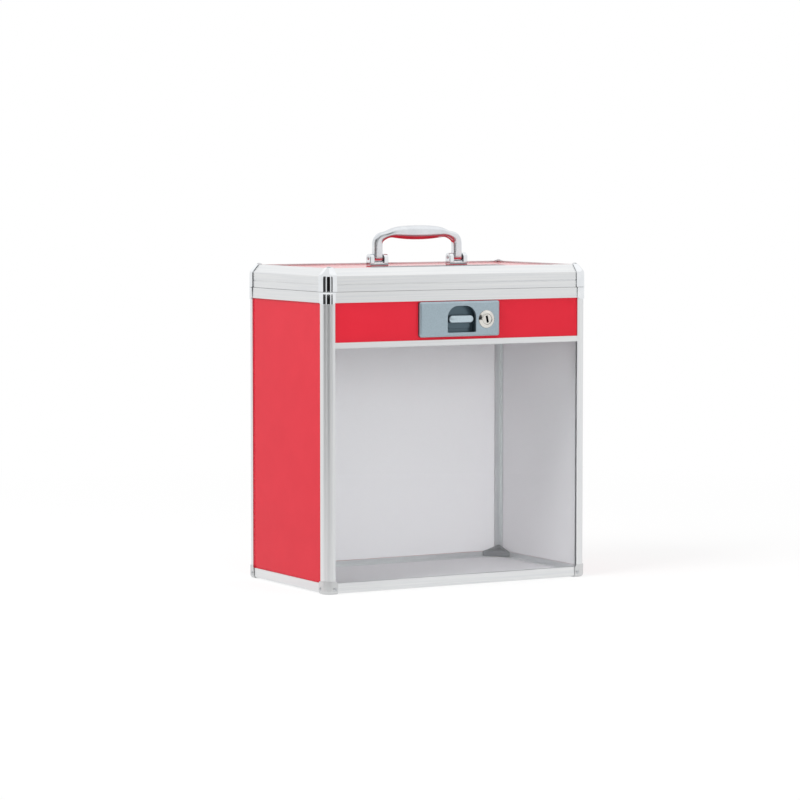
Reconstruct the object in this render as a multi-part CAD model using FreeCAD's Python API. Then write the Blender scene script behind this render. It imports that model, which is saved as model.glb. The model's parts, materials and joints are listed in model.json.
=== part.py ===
import FreeCAD
import Part
import math
import os

os.makedirs("parts", exist_ok=True)
V = FreeCAD.Vector

# Overall size over the corner caps, in mm. The handle stands above it.
# The front faces -Y, Z is up and the box stands on z = 0.
box_width = 360.0
box_depth = 200.0
box_height = 380.0
lid_height = 28.3

# Corner caps are sheet metal, a hair outside the frame that they cover.
cap_wall = 1.0
cap_play = 0.05
skin = cap_wall + cap_play
half_x = box_width / 2 - skin
half_y = box_depth / 2 - skin
floor_z = skin
top_z = box_height - skin
corner_radius = 10.0
edge_radius = 3.0

# Frame extrusion: two lips with a panel slot between them.
lip = 1.5
panel_thickness = 3.0
panel_play = 0.1
slot_width = panel_thickness + 2 * panel_play
far_lip = lip + slot_width
inner_face = far_lip + lip
flange = 13.0
slot_floor = 7.0
edge_play = 0.2
panel_edge = slot_floor + edge_play
panel_front = lip + panel_play
panel_back = panel_front + panel_thickness
lining_thickness = 1.0
lining_play = 0.3
mitre_depth = 20.0

# Heights of the case.
parting_z = box_height - lid_height
parting_gap = 0.4
rim_top = parting_z - parting_gap / 2
rim_height = 12.5
rim_bottom = rim_top - rim_height
rim_roof = 8.0
tongue_height = 2.5
tongue_play = 0.7
base_height = 12.0
base_top = floor_z + base_height
lock_band = 46.0
divider_height = 6.7
divider_web = 1.1
divider_top = rim_bottom - lock_band
divider_bottom = divider_top - divider_height
divider_slot = (divider_height - divider_web) / 2

# Lid extrusion: plain wall, bevelled shoulder, panel slot facing inwards.
lid_bottom = parting_z + parting_gap / 2
lid_wall = 1.6
lid_lip = 1.4
lid_slot_floor = 8.5
bevel_in = 8.0
bevel_drop = 9.0
bevel_z = top_z - bevel_drop
bevel_angle = math.atan2(bevel_drop, bevel_in)
groove_z = parting_z + 8.5
groove_half = 0.6
groove_depth = 0.4
lid_slot_top = top_z - lid_lip
lid_slot_bottom = lid_slot_top - slot_width
lid_underside = lid_slot_bottom - lid_lip
lid_panel_top = lid_slot_top - panel_play
lid_panel_bottom = lid_panel_top - panel_thickness

# Corner cap legs.
cap_bend = corner_radius + skin
base_cap_leg = 17.0
base_cap_height = 15.5
rim_cap_leg = 14.5
rim_cap_below = 1.5
lid_cap_leg = 16.0
cap_tip_radius = 4.0

# Rivets.
rivet_radius = 1.4
rivet_head = 2.6
rivet_dome = 0.8
rivet_play = 0.1
base_rivet_in = 12.0
base_rivet_z = 6.5
base_rivet_grip = 3.5
lid_rivet_in = 10.5

# Rear hinges.
hinge_x = 100.0
hinge_half = 25.0
hinge_segments = 5
segment_gap = 0.15
knuckle_radius = 4.0
knuckle_standoff = 0.25
hinge_pin_radius = 2.0
pin_play = 0.05
pin_head_radius = 3.0
pin_head = 0.8
leaf_thickness = 1.6
leaf_height = 12.0
leaf_notch = knuckle_radius + 0.3
leaf_rivet_x = 15.0
leaf_rivet_z = 7.0
leaf_rivet_grip = 3.5
hinge_y = half_y + knuckle_radius + knuckle_standoff

# Ballot slot, in front of the handle.
slot_from_front = 46.95
slot_y = -half_y + slot_from_front
slot_length = 160.0
slot_gap = 10.0
trim_wall = 1.5
trim_rim = 6.5
trim_height = 1.2
trim_below = 1.0
trim_play = 0.2
trim_radius = 4.0

# Carrying handle and its brackets.
bracket_x = 55.0
bracket_half = 12.6
bracket_deep = 5.7
bracket_base = 4.0
ear_thickness = 6.2
ear_radius = 5.4
pivot_rise = 9.6
pivot_z = lid_panel_top + pivot_rise
handle_pin_radius = 2.0
handle_pin_end = 0.6
handle_eye_radius = 5.0
handle_leg_width = 11.9
handle_screw_radius = 1.5
handle_screw_head = 3.0
handle_screw_dome = 1.6
handle_screw_grip = 5.0
screw_play = 0.2
# Station along the bow, from the left pivot to the middle:
# distance from the middle, rise above the pivot, size along the bow's plane, size across it, squareness.
handle_stations = [
    (55.0, -1.0, 11.8, 9.4, 4.0),
    (55.0, 6.0, 11.8, 9.4, 3.8),
    (54.8, 13.0, 11.8, 9.6, 3.4),
    (54.2, 18.4, 12.2, 10.0, 3.0),
    (52.2, 22.6, 12.4, 10.8, 2.6),
    (48.3, 25.4, 10.0, 11.8, 2.4),
    (43.4, 27.4, 8.6, 13.0, 2.3),
    (38.8, 29.3, 9.4, 14.4, 2.3),
    (32.6, 30.9, 12.2, 16.0, 2.2),
    (21.0, 31.0, 15.2, 18.0, 2.2),
    (0.0, 30.8, 17.0, 19.0, 2.2),
]
handle_points = 16

# Lock on the front panel.
plate_half_x = 54.8
plate_height = 41.5
plate_gap = 1.0
plate_thickness = 5.6
plate_radius = 3.0
plate_bevel = 2.2
plate_bevel_deep = 2.0
lock_z = rim_bottom - plate_gap - plate_height / 2
plate_rear = -half_y + panel_front
plate_face = plate_rear - plate_thickness
panel_rear = -half_y + panel_back
recess_x = 1.9
key_x = 35.6
key_z = lock_z - 1.0
recess_half = 19.5
recess_low = lock_z - 16.0
recess_high = lock_z + 15.4
recess_radius = 14.0
recess_corner = 1.5
recess_depth = 9.4
pan_wall = 1.5
pan_play = 0.4
recess_floor = plate_face + recess_depth
pan_rear = recess_floor + pan_wall
lock_screw_in = 3.5
lock_screw_x = plate_half_x - lock_screw_in
lock_screw_rise = 15.0
lock_screw_radius = 1.5
lock_screw_head = 2.7
lock_screw_dome = 1.6
lock_screw_bite = 4.0
case_left = -47.0
case_right = 48.2
case_half_z = 19.5
case_wall = 1.2
case_flange_edge = 3.2
case_flange = lock_screw_x + case_flange_edge

# Latch slide, cross bolt and keeper: the slide lifts the pin, the slanted slot draws the bolt across.
slide_half = 15.0
slide_low = lock_z - 11.6
slide_high = lock_z + 2.6
slide_corner = 3.0
slide_thickness = 1.5
slide_play = 0.2
slide_travel = 6.0
bar_half = 16.6
bar_half_z = 4.45
bar_z = lock_z - 0.3
bar_proud = 0.3
bar_round = 1.8
drive_pin_radius = 2.0
drive_pin_z = lock_z - 6.25
drive_play = 0.1
clip_radius = 4.0
clip_thickness = 1.0
bolt_travel = 8.0
bolt_gap = 4.6
bolt_thickness = 3.0
bolt_front = pan_rear + bolt_gap
bolt_rear = bolt_front + bolt_thickness
tongue_tip = -34.0
tongue_low = lock_z + 10.2
tongue_high = lock_z + 17.2
body_left = recess_x - 6.3
body_right = recess_x + 14.2
body_low = drive_pin_z - 5.0
tail_end_gap = 6.3
tail_right = key_x - tail_end_gap
tail_low = lock_z - 6.2
tail_high = lock_z + 1.8
lug_width = 3.0
lug_low = lock_z - 4.2
lug_high = lock_z + 0.8
guide_left = -32.0
guide_right = -24.0
guide_wall = 2.0
guide_play = 0.2
keeper_x = -39.5
keeper_thickness = 2.0
keeper_play = 0.4
shank_width = 5.0
nose_reach = 5.0
nose_height = 5.5
nose_gap = 0.6
nose_high = tongue_low - nose_gap
nose_low = nose_high - nose_height
shank_front = bolt_rear + keeper_play
shank_rear = shank_front + shank_width
keeper_foot = 1.6
keeper_foot_left = keeper_x - 9.0
keeper_foot_right = keeper_x + 11.0
keeper_screw_spread = 7.0
keeper_screw_in = 10.0
keeper_screw_radius = 1.2
keeper_screw_head = 2.2
keeper_screw_dome = 1.2
keeper_screw_bite = 2.0
case_rear = shank_rear + 1.5 + case_wall

# Key cylinder.
collar_radius = 10.8
collar_height = 2.2
collar_round = 0.7
barrel_radius = 8.0
barrel_play = 0.1
plug_radius = 6.2
plug_play = 0.05
plug_recess = 0.5
keyway_width = 2.2
keyway_height = 8.4
keyway_depth = 9.0
keyway_lean = 12.0
nut_flats = 19.0
nut_thickness = 2.0
cam_hub = 5.6
cam_inner = 11.2
cam_outer = 13.8
cam_thickness = 2.0
cam_gap = 1.0
cam_screw_radius = 1.6
cam_screw_head = 3.4
cam_screw_dome = 1.4
cam_screw_bite = 6.0
# The cam's arm and hook in degrees, from the +X side upwards.
cam_arm_start = 50.0
cam_arm_end = 68.0
cam_hook_end = 98.0

# Braces inside the rear floor corners.
brace_leg = 25.0
brace_high = 13.0
brace_low = 6.0
brace_play = 0.1


def box(x0, x1, y0, y1, z0, z1):
    return Part.makeBox(x1 - x0, y1 - y0, z1 - z0, V(x0, y0, z0))


def prism(points, way):
    return Part.Face(Part.makePolygon(points + [points[0]])).extrude(way)


def rod(radius, start, way):
    return Part.makeCylinder(radius, way.Length, start, way)


def turned(spots, crown_radius, crown_height, start, way):
    # A profile of (radius, height) turned about its axis, closed by a domed crown on top.
    ball = (crown_radius**2 + crown_height**2) / (2 * crown_height)
    lean = math.asin(crown_radius / ball) / 2
    rim = V(crown_radius, 0, 0)
    shoulder = V(ball * math.sin(lean), 0, crown_height - ball * (1 - math.cos(lean)))
    crown = V(0, 0, crown_height)
    points = [V(radius, 0, height) for radius, height in spots] + [rim]
    edges = [Part.makeLine(a, b) for a, b in zip(points, points[1:])]
    edges.append(Part.Arc(rim, shoulder, crown).toShape())
    edges.append(Part.makeLine(crown, points[0]))
    solid = Part.Face(Part.Wire(edges)).revolve(V(0, 0, 0), V(0, 0, 1), 360)
    solid.Placement = FreeCAD.Placement(start, FreeCAD.Rotation(V(0, 0, 1), way))
    return solid


def domed(radius, height, start, way):
    return turned([(0, 0)], radius, height, start, way)


def fastener(radius, head, dome, start, way, grip):
    # start lies under the head, way points out of the head.
    return turned([(0, -grip), (radius, -grip), (radius, 0)], head, dome, start, way)


def one(shape):
    return shape.removeSplitter().Solids[0]


def group(solids):
    return Part.makeCompound(solids)


def flip_x(shape):
    return shape.mirror(V(0, 0, 0), V(1, 0, 0))


def flip_y(shape):
    return shape.mirror(V(0, 0, 0), V(0, 1, 0))


def four_corners(shape):
    return [shape, flip_x(shape), flip_y(shape), flip_x(flip_y(shape))]


def rounded_wire(half_a, half_b, radius, place):
    # place(a, b) gives the point in space.
    arcs = []
    for turn in range(4):
        start = math.pi / 2 * turn
        side_a = 1 if turn in (0, 3) else -1
        side_b = 1 if turn in (0, 1) else -1
        centre_a = side_a * (half_a - radius)
        centre_b = side_b * (half_b - radius)
        spots = []
        for step in range(3):
            angle = start + math.pi / 4 * step
            a = centre_a + radius * math.cos(angle)
            b = centre_b + radius * math.sin(angle)
            spots.append(place(a, b))
        arcs.append(spots)
    edges = []
    for turn in range(4):
        spots = arcs[turn]
        following = arcs[(turn + 1) % 4]
        edges.append(Part.Arc(spots[0], spots[1], spots[2]).toShape())
        edges.append(Part.LineSegment(spots[2], following[0]).toShape())
    return Part.Wire(edges)


def rounded_slab(half_a, half_b, radius, z0, z1):
    wire = rounded_wire(half_a, half_b, radius, lambda a, b: V(a, b, z0))
    return Part.Face(wire).extrude(V(0, 0, z1 - z0))


def edges_at(shape, test):
    return [edge for edge in shape.Edges if test(edge.BoundBox)]


def base_block(offset):
    low = floor_z - offset
    slab = rounded_slab(half_x + offset, half_y + offset, corner_radius + offset, low, parting_z)
    lower = edges_at(slab, lambda b: b.ZMax < low + 0.01)
    return slab.makeFillet(edge_radius + offset, lower)


def frame_block(offset, z0, z1):
    return rounded_slab(half_x + offset, half_y + offset, corner_radius + offset, z0, z1)


def lid_block(offset):
    shoulder = bevel_z + offset * math.tan((math.pi / 2 - bevel_angle) / 2)
    inset = bevel_in - offset * math.tan(bevel_angle / 2)
    high = top_z + offset
    outer_x = half_x + offset
    outer_y = half_y + offset
    outer = rounded_wire(outer_x, outer_y, corner_radius + offset, lambda a, b: V(a, b, shoulder))
    inner = rounded_wire(half_x - inset, half_y - inset, corner_radius - inset, lambda a, b: V(a, b, high))
    upper = Part.makeLoft([outer, inner], True, True)
    return frame_block(offset, lid_bottom, shoulder).fuse(upper).removeSplitter()


def corner_profile(reach_a, reach_b):
    return [
        (0, 0),
        (0, reach_b),
        (lip, reach_b),
        (lip, slot_floor),
        (far_lip, slot_floor),
        (far_lip, reach_b),
        (inner_face, reach_b),
        (inner_face, inner_face),
        (reach_a, inner_face),
        (reach_a, far_lip),
        (slot_floor, far_lip),
        (slot_floor, lip),
        (reach_a, lip),
        (reach_a, 0),
    ]


def front_rail(profile, block):
    m = mitre_depth
    bar = prism([V(-half_x, -half_y + a, z) for a, z in profile], V(2 * half_x, 0, 0))
    wedge = prism(
        [
            V(-half_x, -half_y, 0),
            V(half_x, -half_y, 0),
            V(half_x - m, -half_y + m, 0),
            V(-half_x + m, -half_y + m, 0),
        ],
        V(0, 0, box_height),
    )
    return one(bar.common(wedge).common(block))


def left_rail(profile, block):
    m = mitre_depth
    bar = prism([V(-half_x + a, -half_y, z) for a, z in profile], V(0, 2 * half_y, 0))
    wedge = prism(
        [
            V(-half_x, -half_y, 0),
            V(-half_x + m, -half_y + m, 0),
            V(-half_x + m, half_y - m, 0),
            V(-half_x, half_y, 0),
        ],
        V(0, 0, box_height),
    )
    return one(bar.common(wedge).common(block))


parts = {}

# Corner posts
post_points = [V(-half_x + a, -half_y + b, base_top) for a, b in corner_profile(flange, flange)]
post = one(prism(post_points, V(0, 0, rim_bottom - base_top)).common(frame_block(0, 0, parting_z)))
post_names = ["post_front_left", "post_front_right", "post_rear_left", "post_rear_right"]
for name, solid in zip(post_names, four_corners(post)):
    parts[name] = solid

# Base rails, drilled for the cap rivets
base_profile = [(a, floor_z + b) for a, b in corner_profile(flange, base_height)]
base_front = front_rail(base_profile, base_block(0))
base_left = left_rail(base_profile, base_block(0))
rivet_hole = rivet_radius + rivet_play
cap_left = -half_x - skin
cap_front = -half_y - skin
front_rivet_spot = V(cap_left + base_rivet_in, cap_front, base_rivet_z)
left_rivet_spot = V(cap_left, cap_front + base_rivet_in, base_rivet_z)
hole_reach = skin + base_rivet_grip + rivet_play
front_drill = rod(rivet_hole, front_rivet_spot, V(0, hole_reach, 0))
left_drill = rod(rivet_hole, left_rivet_spot, V(hole_reach, 0, 0))
base_front = base_front.cut(front_drill).cut(flip_x(front_drill))
base_left = base_left.cut(left_drill).cut(flip_y(left_drill))
parts["base_rail_front"] = one(base_front)
parts["base_rail_rear"] = flip_y(one(base_front))
parts["base_rail_left"] = one(base_left)
parts["base_rail_right"] = flip_x(one(base_left))

# Rim rails with the tongue that centres the lid, the rear one drilled for the hinge rivets
rim_slot_end = rim_top - rim_roof
rim_profile = [
    (0, rim_bottom),
    (0, rim_top),
    (far_lip, rim_top),
    (far_lip, rim_top + tongue_height),
    (inner_face, rim_top + tongue_height),
    (inner_face, rim_bottom),
    (far_lip, rim_bottom),
    (far_lip, rim_slot_end),
    (lip, rim_slot_end),
    (lip, rim_bottom),
]
rim_block = frame_block(0, 0, box_height)
rim_front = front_rail(rim_profile, rim_block)
rim_left = left_rail(rim_profile, rim_block)
leaf_face = half_y + leaf_thickness
body_leaf_spots = []
lid_leaf_spots = []
for side in (-1, 1):
    for offset in (-leaf_rivet_x, leaf_rivet_x):
        body_leaf_spots.append(V(side * hinge_x + offset, leaf_face, parting_z - leaf_rivet_z))
        lid_leaf_spots.append(V(side * hinge_x + offset, leaf_face, parting_z + leaf_rivet_z))
leaf_hole_reach = leaf_thickness + leaf_rivet_grip + rivet_play
rim_rear = flip_y(rim_front)
for spot in body_leaf_spots:
    rim_rear = rim_rear.cut(rod(rivet_hole, spot, V(0, -leaf_hole_reach, 0)))
parts["rim_rail_front"] = rim_front
parts["rim_rail_rear"] = one(rim_rear)
parts["rim_rail_left"] = rim_left
parts["rim_rail_right"] = flip_x(rim_left)

# Divider strip across the front, an H section between the two front posts
divider_reach = half_x - flange
divider = box(-divider_reach, divider_reach, -half_y, -half_y + inner_face, divider_bottom, divider_top)
slot_y0 = -half_y + lip
slot_y1 = -half_y + far_lip
lower_groove = divider_bottom + divider_slot
upper_groove = divider_top - divider_slot
divider = divider.cut(box(-half_x, half_x, slot_y0, slot_y1, divider_bottom, lower_groove))
divider = divider.cut(box(-half_x, half_x, slot_y0, slot_y1, upper_groove, divider_top))
parts["divider_strip"] = one(divider)

# Panels in the slots
panel_x = half_x - panel_edge
panel_y = half_y - panel_edge
panel_low = floor_z + panel_edge
panel_high = rim_slot_end - edge_play
window_high = lower_groove - edge_play
lock_panel_low = upper_groove + edge_play
parts["window"] = box(-panel_x, panel_x, plate_rear, panel_rear, panel_low, window_high)
side_panel = box(-half_x + panel_front, -half_x + panel_back, -panel_y, panel_y, panel_low, panel_high)
parts["panel_left"] = side_panel
parts["panel_right"] = flip_x(side_panel)
parts["panel_rear"] = flip_y(box(-panel_x, panel_x, plate_rear, panel_rear, panel_low, panel_high))
floor_low = floor_z + panel_front
floor_high = floor_z + panel_back
parts["floor_panel"] = box(-panel_x, panel_x, -panel_y, panel_y, floor_low, floor_high)

# Lining sheets between the inner lips
lining_x = half_x - flange - lining_play
lining_y = half_y - flange - lining_play
lining_low = base_top + lining_play
lining_high = rim_bottom - lining_play
lining_back = panel_back + lining_thickness
side_lining = box(-half_x + panel_back, -half_x + lining_back, -lining_y, lining_y, lining_low, lining_high)
parts["lining_left"] = side_lining
parts["lining_right"] = flip_x(side_lining)
parts["lining_rear"] = box(
    -lining_x, lining_x, half_y - lining_back, half_y - panel_back, lining_low, lining_high
)
floor_lining_high = floor_high + lining_thickness
parts["floor_lining"] = box(-lining_x, lining_x, -lining_y, lining_y, floor_high, floor_lining_high)

# Braces on the floor in the two rear corners
brace_x = half_x - inner_face - brace_play
brace_y = half_y - inner_face - brace_play
brace_z = floor_z + inner_face + brace_play
brace = prism(
    [
        V(brace_x, brace_y, brace_z),
        V(brace_x - brace_leg, brace_y, brace_z),
        V(brace_x, brace_y - brace_leg, brace_z),
    ],
    V(0, 0, brace_high),
)
slope_tip = V(brace_x - brace_leg / 2, brace_y - brace_leg / 2, brace_z + brace_low)
slope_top = V(brace_x, brace_y, brace_z + brace_high)
slope_side = V(1, -1, 0).normalize() * brace_leg
above = V(0, 0, brace_leg)
slope_cut = prism(
    [
        slope_tip - slope_side,
        slope_top - slope_side,
        slope_top - slope_side + above,
        slope_tip - slope_side + above,
    ],
    slope_side * 2,
)
brace = one(brace.cut(slope_cut))
parts["inner_corner_braces"] = group([brace, flip_x(brace)])


def cap_tab(leg, low, high, round_low, round_high):
    # Front leg of a cap at the left front corner, its free end rounded.
    tab = box(cap_left, cap_left + leg, cap_front, cap_front + cap_bend, low, high)
    end = cap_left + leg - 0.01
    edges = []
    if round_low:
        edges += edges_at(tab, lambda b: b.XMin > end and b.ZMax < low + 0.01)
    if round_high:
        edges += edges_at(tab, lambda b: b.XMin > end and b.ZMin > high - 0.01)
    return tab.makeFillet(cap_tip_radius, edges)


def two_legs(tab):
    return tab.fuse(tab.mirror(V(cap_left, cap_front, 0), V(1, -1, 0)))


def cap_plate(leg, low, high):
    # Third leg of a cap, flat on the top or the underside, its corner cut across.
    short = leg * 0.62
    spots = [(0, 0), (leg, 0), (leg, short), (short, leg), (0, leg)]
    return prism([V(cap_left + a, cap_front + b, low) for a, b in spots], V(0, 0, high - low))


# Base corner caps, the feet of the box, riveted to the base rails
base_shell = base_block(skin).cut(base_block(cap_play))
base_zone = two_legs(cap_tab(base_cap_leg, 0, base_cap_height, False, True))
base_zone = base_zone.fuse(cap_plate(base_cap_leg, 0, edge_radius))
base_cap = one(base_shell.common(base_zone)).cut(front_drill).cut(left_drill)
base_cap = one(base_cap)
parts["base_corner_caps"] = group(four_corners(base_cap))
base_grip = skin + base_rivet_grip
front_rivet = fastener(rivet_radius, rivet_head, rivet_dome, front_rivet_spot, V(0, -1, 0), base_grip)
left_rivet = fastener(rivet_radius, rivet_head, rivet_dome, left_rivet_spot, V(-1, 0, 0), base_grip)
parts["base_cap_rivets"] = group(four_corners(front_rivet) + four_corners(left_rivet))

# Rim corner caps under the parting line
rim_cap_low = rim_bottom - rim_cap_below
rim_shell = frame_block(skin, rim_cap_low, rim_top).cut(frame_block(cap_play, rim_cap_low, rim_top))
rim_cap = one(rim_shell.common(two_legs(cap_tab(rim_cap_leg, rim_cap_low, rim_top, True, False))))
parts["rim_corner_caps"] = group(four_corners(rim_cap))

# Lid rails
lid_foot = far_lip - tongue_play
wall_turn = lid_wall * math.tan((math.pi / 2 - bevel_angle) / 2)
bevel_run = bevel_in / bevel_drop
inner_shift = lid_wall / math.sin(bevel_angle)
inner_corner = (lid_underside - bevel_z) * bevel_run + inner_shift
lid_profile = [
    (0, lid_bottom),
    (0, groove_z - groove_half),
    (groove_depth, groove_z - groove_half / 2),
    (groove_depth, groove_z + groove_half / 2),
    (0, groove_z + groove_half),
    (0, bevel_z),
    (bevel_in, top_z),
    (flange, top_z),
    (flange, lid_slot_top),
    (lid_slot_floor, lid_slot_top),
    (lid_slot_floor, lid_slot_bottom),
    (flange, lid_slot_bottom),
    (flange, lid_underside),
    (inner_corner, lid_underside),
    (lid_wall, bevel_z - wall_turn),
    (lid_wall, lid_bottom + lid_wall),
    (lid_foot, lid_bottom + lid_wall),
    (lid_foot, lid_bottom),
]
lid_front = front_rail(lid_profile, lid_block(0))
lid_left = left_rail(lid_profile, lid_block(0))
lid_rivet_spot = V(-half_x + lid_rivet_in, -half_y + lid_rivet_in, box_height)
lid_rivet_grip = skin + lid_lip
lid_drill = rod(rivet_hole, lid_rivet_spot, V(0, 0, -lid_rivet_grip))
lid_front = lid_front.cut(lid_drill).cut(flip_x(lid_drill))
lid_left = lid_left.cut(lid_drill).cut(flip_y(lid_drill))
lid_rear = flip_y(lid_front)
for spot in lid_leaf_spots:
    lid_rear = lid_rear.cut(rod(rivet_hole, spot, V(0, -leaf_hole_reach, 0)))
keeper_screw_spots = []
keeper_foot_z = lid_underside - keeper_foot
for offset in (-keeper_screw_spread, keeper_screw_spread):
    x = (keeper_foot_left + keeper_foot_right) / 2 + offset
    keeper_screw_spots.append(V(x, -half_y + keeper_screw_in, keeper_foot_z))
keeper_hole = keeper_screw_radius + screw_play
keeper_hole_reach = keeper_foot + lid_lip + panel_play + keeper_screw_bite + screw_play
keeper_drills = [rod(keeper_hole, spot, V(0, 0, keeper_hole_reach)) for spot in keeper_screw_spots]
for drill in keeper_drills:
    lid_front = lid_front.cut(drill)
parts["lid_rail_front"] = one(lid_front)
parts["lid_rail_rear"] = one(lid_rear)
parts["lid_rail_left"] = one(lid_left)
parts["lid_rail_right"] = flip_x(one(lid_left))

# Lid corner caps
lid_shell = lid_block(skin).cut(lid_block(cap_play))
lid_zone = two_legs(cap_tab(lid_cap_leg, lid_bottom, box_height, True, False))
lid_zone = lid_zone.fuse(cap_plate(lid_cap_leg, bevel_z, box_height))
lid_cap = one(lid_shell.common(lid_zone)).cut(lid_drill)
parts["lid_corner_caps"] = group(four_corners(one(lid_cap)))
lid_rivet = fastener(rivet_radius, rivet_head, rivet_dome, lid_rivet_spot, V(0, 0, 1), lid_rivet_grip)
parts["lid_cap_rivets"] = group(four_corners(lid_rivet))

# Lid panel and lining, cut for the ballot slot and drilled for the handle screws
lid_edge = lid_slot_floor + edge_play
lid_panel = box(
    -half_x + lid_edge,
    half_x - lid_edge,
    -half_y + lid_edge,
    half_y - lid_edge,
    lid_panel_bottom,
    lid_panel_top,
)
lid_lining_low = lid_panel_bottom - lining_thickness
lid_lining = box(-lining_x, lining_x, -lining_y, lining_y, lid_lining_low, lid_panel_bottom)
slot_half = slot_length / 2
throat_half = slot_half + trim_wall
throat_deep = slot_gap / 2 + trim_wall
slot_cut = box(
    -throat_half - trim_play,
    throat_half + trim_play,
    slot_y - throat_deep - trim_play,
    slot_y + throat_deep + trim_play,
    lid_lining_low,
    lid_panel_top,
)
handle_screw_spots = []
ear_middle = bracket_half - ear_thickness / 2
for side in (-1, 1):
    for offset in (-ear_middle, ear_middle):
        handle_screw_spots.append(V(side * bracket_x + offset, 0, lid_lining_low))
screw_board = lining_thickness + panel_thickness
screw_reach = screw_board + handle_screw_grip
handle_drills = []
for spot in handle_screw_spots:
    handle_drills.append(rod(handle_screw_radius + screw_play, spot, V(0, 0, screw_reach + screw_play)))
lid_panel = lid_panel.cut(slot_cut)
lid_lining = lid_lining.cut(slot_cut)
for drill in handle_drills:
    lid_panel = lid_panel.cut(drill)
    lid_lining = lid_lining.cut(drill)
for drill in keeper_drills:
    lid_panel = lid_panel.cut(drill)
parts["lid_panel"] = one(lid_panel)
parts["lid_lining"] = one(lid_lining)

# Slot trim: a flat rim on the panel and a throat through it
trim_low = lid_lining_low - trim_below
trim_high = lid_panel_top + trim_height
rim_half_x = throat_half + trim_rim
rim_half_y = throat_deep + trim_rim
trim = rounded_slab(rim_half_x, rim_half_y, trim_radius, lid_panel_top, trim_high)
trim = trim.fuse(box(-throat_half, throat_half, -throat_deep, throat_deep, trim_low, lid_panel_top))
trim = trim.cut(box(-slot_half, slot_half, -slot_gap / 2, slot_gap / 2, trim_low, trim_high))
trim = one(trim)
trim.translate(V(0, slot_y, 0))
parts["slot_trim"] = trim

# Rear hinges
segment = 2 * hinge_half / hinge_segments


def hinge_leaf(side, own, up):
    # own holds the knuckle numbers of this leaf, up is 1 for the lid and -1 for the case.
    middle = side * hinge_x
    near = parting_z + up * leaf_notch
    far = parting_z + up * leaf_height
    x0 = middle - hinge_half
    leaf = box(x0, x0 + 2 * hinge_half, half_y, leaf_face, min(near, far), max(near, far))
    for number in own:
        start = x0 + number * segment + segment_gap
        stop = x0 + (number + 1) * segment - segment_gap
        leaf = leaf.fuse(box(start, stop, half_y, leaf_face, min(parting_z, near), max(parting_z, near)))
        leaf = leaf.fuse(rod(knuckle_radius, V(start, hinge_y, parting_z), V(stop - start, 0, 0)))
    bore = rod(hinge_pin_radius + pin_play, V(x0 - 1, hinge_y, parting_z), V(2 * hinge_half + 2, 0, 0))
    leaf = leaf.cut(bore)
    for offset in (-leaf_rivet_x, leaf_rivet_x):
        spot = V(middle + offset, leaf_face, parting_z + up * leaf_rivet_z)
        leaf = leaf.cut(rod(rivet_hole, spot, V(0, -leaf_thickness, 0)))
    return one(leaf)


def hinge_pin(side):
    start = V(side * hinge_x - hinge_half - pin_play, hinge_y, parting_z)
    run = V(2 * (hinge_half + pin_play), 0, 0)
    pin = rod(hinge_pin_radius, start, run)
    pin = pin.fuse(domed(pin_head_radius, pin_head, start, V(-1, 0, 0)))
    pin = pin.fuse(domed(pin_head_radius, pin_head, start + run, V(1, 0, 0)))
    return one(pin)


parts["hinge_body_leaves"] = group([hinge_leaf(side, (0, 2, 4), -1) for side in (-1, 1)])
parts["hinge_lid_leaves"] = group([hinge_leaf(side, (1, 3), 1) for side in (-1, 1)])
parts["hinge_pins"] = group([hinge_pin(side) for side in (-1, 1)])
body_grip = leaf_thickness + leaf_rivet_grip
lid_grip = leaf_thickness + lid_wall
rivet_way = V(0, 1, 0)
body_rivets = []
lid_rivets = []
for spot in body_leaf_spots:
    body_rivets.append(fastener(rivet_radius, rivet_head, rivet_dome, spot, rivet_way, body_grip))
for spot in lid_leaf_spots:
    rivet = fastener(rivet_radius, rivet_head, rivet_dome, spot, rivet_way, lid_grip)
    tail = domed(rivet_head, rivet_dome, spot - V(0, lid_grip, 0), V(0, -1, 0))
    lid_rivets.append(one(rivet.fuse(tail)))
parts["hinge_body_rivets"] = group(body_rivets)
parts["hinge_lid_rivets"] = group(lid_rivets)

# Keeper hook that hangs from the lid into the lock
keeper_high = lid_underside
keeper_right = keeper_x + keeper_thickness
hook = prism(
    [
        V(keeper_x, shank_front, keeper_high),
        V(keeper_x, shank_rear, keeper_high),
        V(keeper_x, shank_rear, nose_low),
        V(keeper_x, shank_front - nose_reach, nose_low + 1.5),
        V(keeper_x, shank_front - nose_reach, nose_high),
        V(keeper_x, shank_front, nose_high),
    ],
    V(keeper_thickness, 0, 0),
)
foot = box(
    keeper_foot_left, keeper_foot_right, -half_y + inner_face, shank_rear, keeper_foot_z, keeper_high
)
keeper = hook.fuse(foot)
for drill in keeper_drills:
    keeper = keeper.cut(drill)
parts["lid_keeper"] = one(keeper)
keeper_grip = keeper_hole_reach - screw_play
keeper_screws = []
for spot in keeper_screw_spots:
    screw = fastener(
        keeper_screw_radius, keeper_screw_head, keeper_screw_dome, spot, V(0, 0, -1), keeper_grip
    )
    keeper_screws.append(screw)
parts["keeper_screws"] = group(keeper_screws)


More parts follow.
